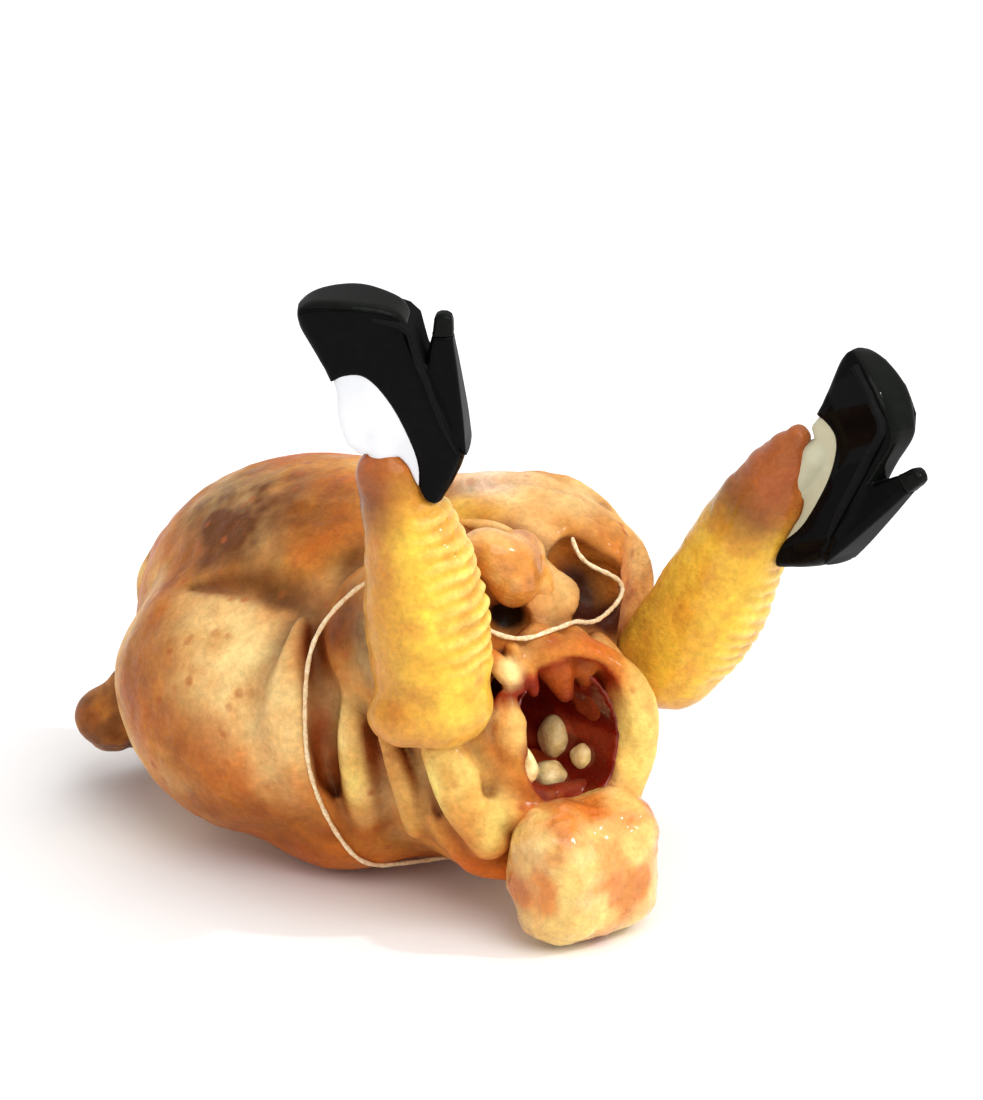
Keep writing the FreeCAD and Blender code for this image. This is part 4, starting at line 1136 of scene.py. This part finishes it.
# ---------------- materials of the kept CAD nodes
STEEL = brushed_metal("armature_steel_bead_blasted", rgba(136, 138, 140), rgba(192, 194, 196))
BRASS = brushed_metal("sleeve_brass_turned", rgba(186, 146, 70), rgba(228, 196, 118), (0.2, 0.36))
INSOLE = moulded_black("insole_satin_black", rgba(26, 25, 26), (0.5, 0.7), 0.0, 0.2)
HARDWARE = {
    "armature_crossbar": STEEL, "hip_bracket": STEEL, "bar_nut": STEEL, "leg_fork": STEEL, "leg_rod": STEEL,
    "knee_pin": STEEL, "knee_nut": STEEL, "ankle_sleeve": BRASS, "insole": INSOLE,
}
for node in frame["nodes"]:
    kind = next((kind for kind in HARDWARE if node.endswith(kind)), None)
    if kind:
        for slot in bpy.data.objects[node].material_slots:
            slot.material = HARDWARE[kind]


# ---------------- putting the pieces together
SKIN = skin_material("skin_painted_rubber", wet=0.09, roughness=(0.36, 0.66), dots=0.8)
LEG_SKIN = skin_material("leg_painted_rubber", wet=0.4, pores=0.4, pore_scale=210, roughness=(0.26, 0.5))
FAT = skin_material("fat_glossy_rubber", wet=0.8, pores=0.12, pore_scale=260, roughness=(0.14, 0.34))
TAIL = skin_material("tail_glossy_rubber", wet=0.7, pores=0.9, pore_scale=330, roughness=(0.16, 0.4))
LINING = skin_material("cavity_wet_rubber", wet=0.8, pores=0.1, pore_scale=160, roughness=(0.16, 0.4))
SHOES = {
    "shoe_gloss": moulded_black("shoe_patent_black", rgba(8, 8, 9), (0.22, 0.34), 0.22, 0.08),
    "sole_black": moulded_black("sole_satin_black", rgba(15, 17, 14), (0.3, 0.46), 0.3, 0.12),
    "left_insert": woven_cloth("insert_white_cloth", rgba(238, 238, 240), rgba(204, 207, 214)),
    # the right insert is the same white cloth as the left one, darkened to olive-grey as painted shade
    "right_insert": woven_cloth("insert_white_cloth_in_painted_shade", rgba(206, 202, 172), rgba(150, 146, 116)),
}


def place(piece, body, slot, *nodes):
    """Says which body a piece rides on and the CAD nodes it stands for; its finish, slot, is not used."""
    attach(piece, body)
    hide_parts(*nodes)


skin, torso = torso_piece(SKIN)
place(skin, "torso", "skin", "torso_skin")
place(stuffing_piece(torso, fibre_fill("stuffing_matted_fibre")), "torso", "stuffing", "torso_core")
place(lining_piece(LINING), "torso", "cavity_red", "cavity_liner")
for label in ("long", "round", "side", "small"):
    place(fat_lump(label, FAT), "torso", "pale_fat", f"cavity_lump_{label}")
place(tail_piece(TAIL), "torso", "skin_fat", "tail_lobe")
place(keel_piece(TAIL), "torso", "skin_fat", "keel_lump")
place(neck_piece(torso, SKIN), "torso", "skin", "neck_flap")
place(band_piece(torso, elastic_band("band_cream_elastic")), "torso", "band_elastic", "truss_band")
for side in SIDES:
    place(wing_piece(side, SKIN), "torso", "skin", f"{side}_wing")
    place(drumstick_piece(side, LEG_SKIN), f"{side}_leg", "drumstick_skin", f"{side}_drumstick")
    for piece, finish, nodes in shoe_pieces(side, SHOES):
        place(piece, f"{side}_shoe", finish, *nodes)


# ---------------- floor, light and camera
def stage_floor():
    """Pale flat floor under the object."""
    points = [(x, y, 0.0) for y in np.linspace(-9, 5, 15) for x in (-9.0, 9.0)]
    faces = [(2 * i, 2 * i + 1, 2 * i + 3, 2 * i + 2) for i in range(14)]
    mesh = bpy.data.meshes.new("studio_floor")
    mesh.from_pydata(points, [], faces)
    mesh.materials.append(plain_floor("studio_floor_pale"))
    floor = bpy.data.objects.new("studio_floor", mesh)
    bpy.context.scene.collection.objects.link(floor)
    floor.location.z = cad_bounds[0][2] - 0.0002


def sun_light(name, source, power, spread):
    """Distant soft light that shines from a direction; spread is its width in degrees."""
    light = bpy.data.lights.new(name, "SUN")
    light.energy = power
    light.angle = math.radians(spread)
    lamp = bpy.data.objects.new(name, light)
    lamp.rotation_euler = Vector(source).to_track_quat("Z", "Y").to_euler()
    bpy.context.scene.collection.objects.link(lamp)


def add_camera(target, azimuth, elevation, distance, focal):
    """Camera at the photograph's viewing angle, a little off its own line so that the target is centred."""
    across, lift = math.radians(azimuth), math.radians(elevation)
    back = Vector((math.sin(across) * math.cos(lift), -math.cos(across) * math.cos(lift), math.sin(lift)))
    right = Vector((math.cos(across), math.sin(across), 0))
    data = bpy.data.cameras.new("camera")
    data.lens = focal
    data.sensor_width = 36
    camera = bpy.data.objects.new("camera", data)
    camera.location = back * distance
    behind = (camera.location - Vector(target)).normalized()
    right = (right - behind * right.dot(behind)).normalized()
    camera.rotation_euler = Matrix((right, behind.cross(right), behind)).transposed().to_euler()
    bpy.context.scene.collection.objects.link(camera)
    bpy.context.scene.camera = camera


world = bpy.data.worlds.new("studio")
world.use_nodes = True
world.node_tree.nodes["Background"].inputs["Color"].default_value = (1, 1, 1, 1)
world.node_tree.nodes["Background"].inputs["Strength"].default_value = 0.74
bpy.context.scene.world = world
bpy.context.scene.view_settings.view_transform = "Standard"

stage_floor()
sun_light("key", (-0.15, -0.85, 0.95), 1.5, 50)
sun_light("top", (0.4, -0.2, 1.3), 0.45, 70)
sun_light("sparkle", (0.62, -0.72, 0.8), 0.75, 3)
add_camera((0.0508, 0.0072, 0.0997), -40, 21, 1.6, 141.4)
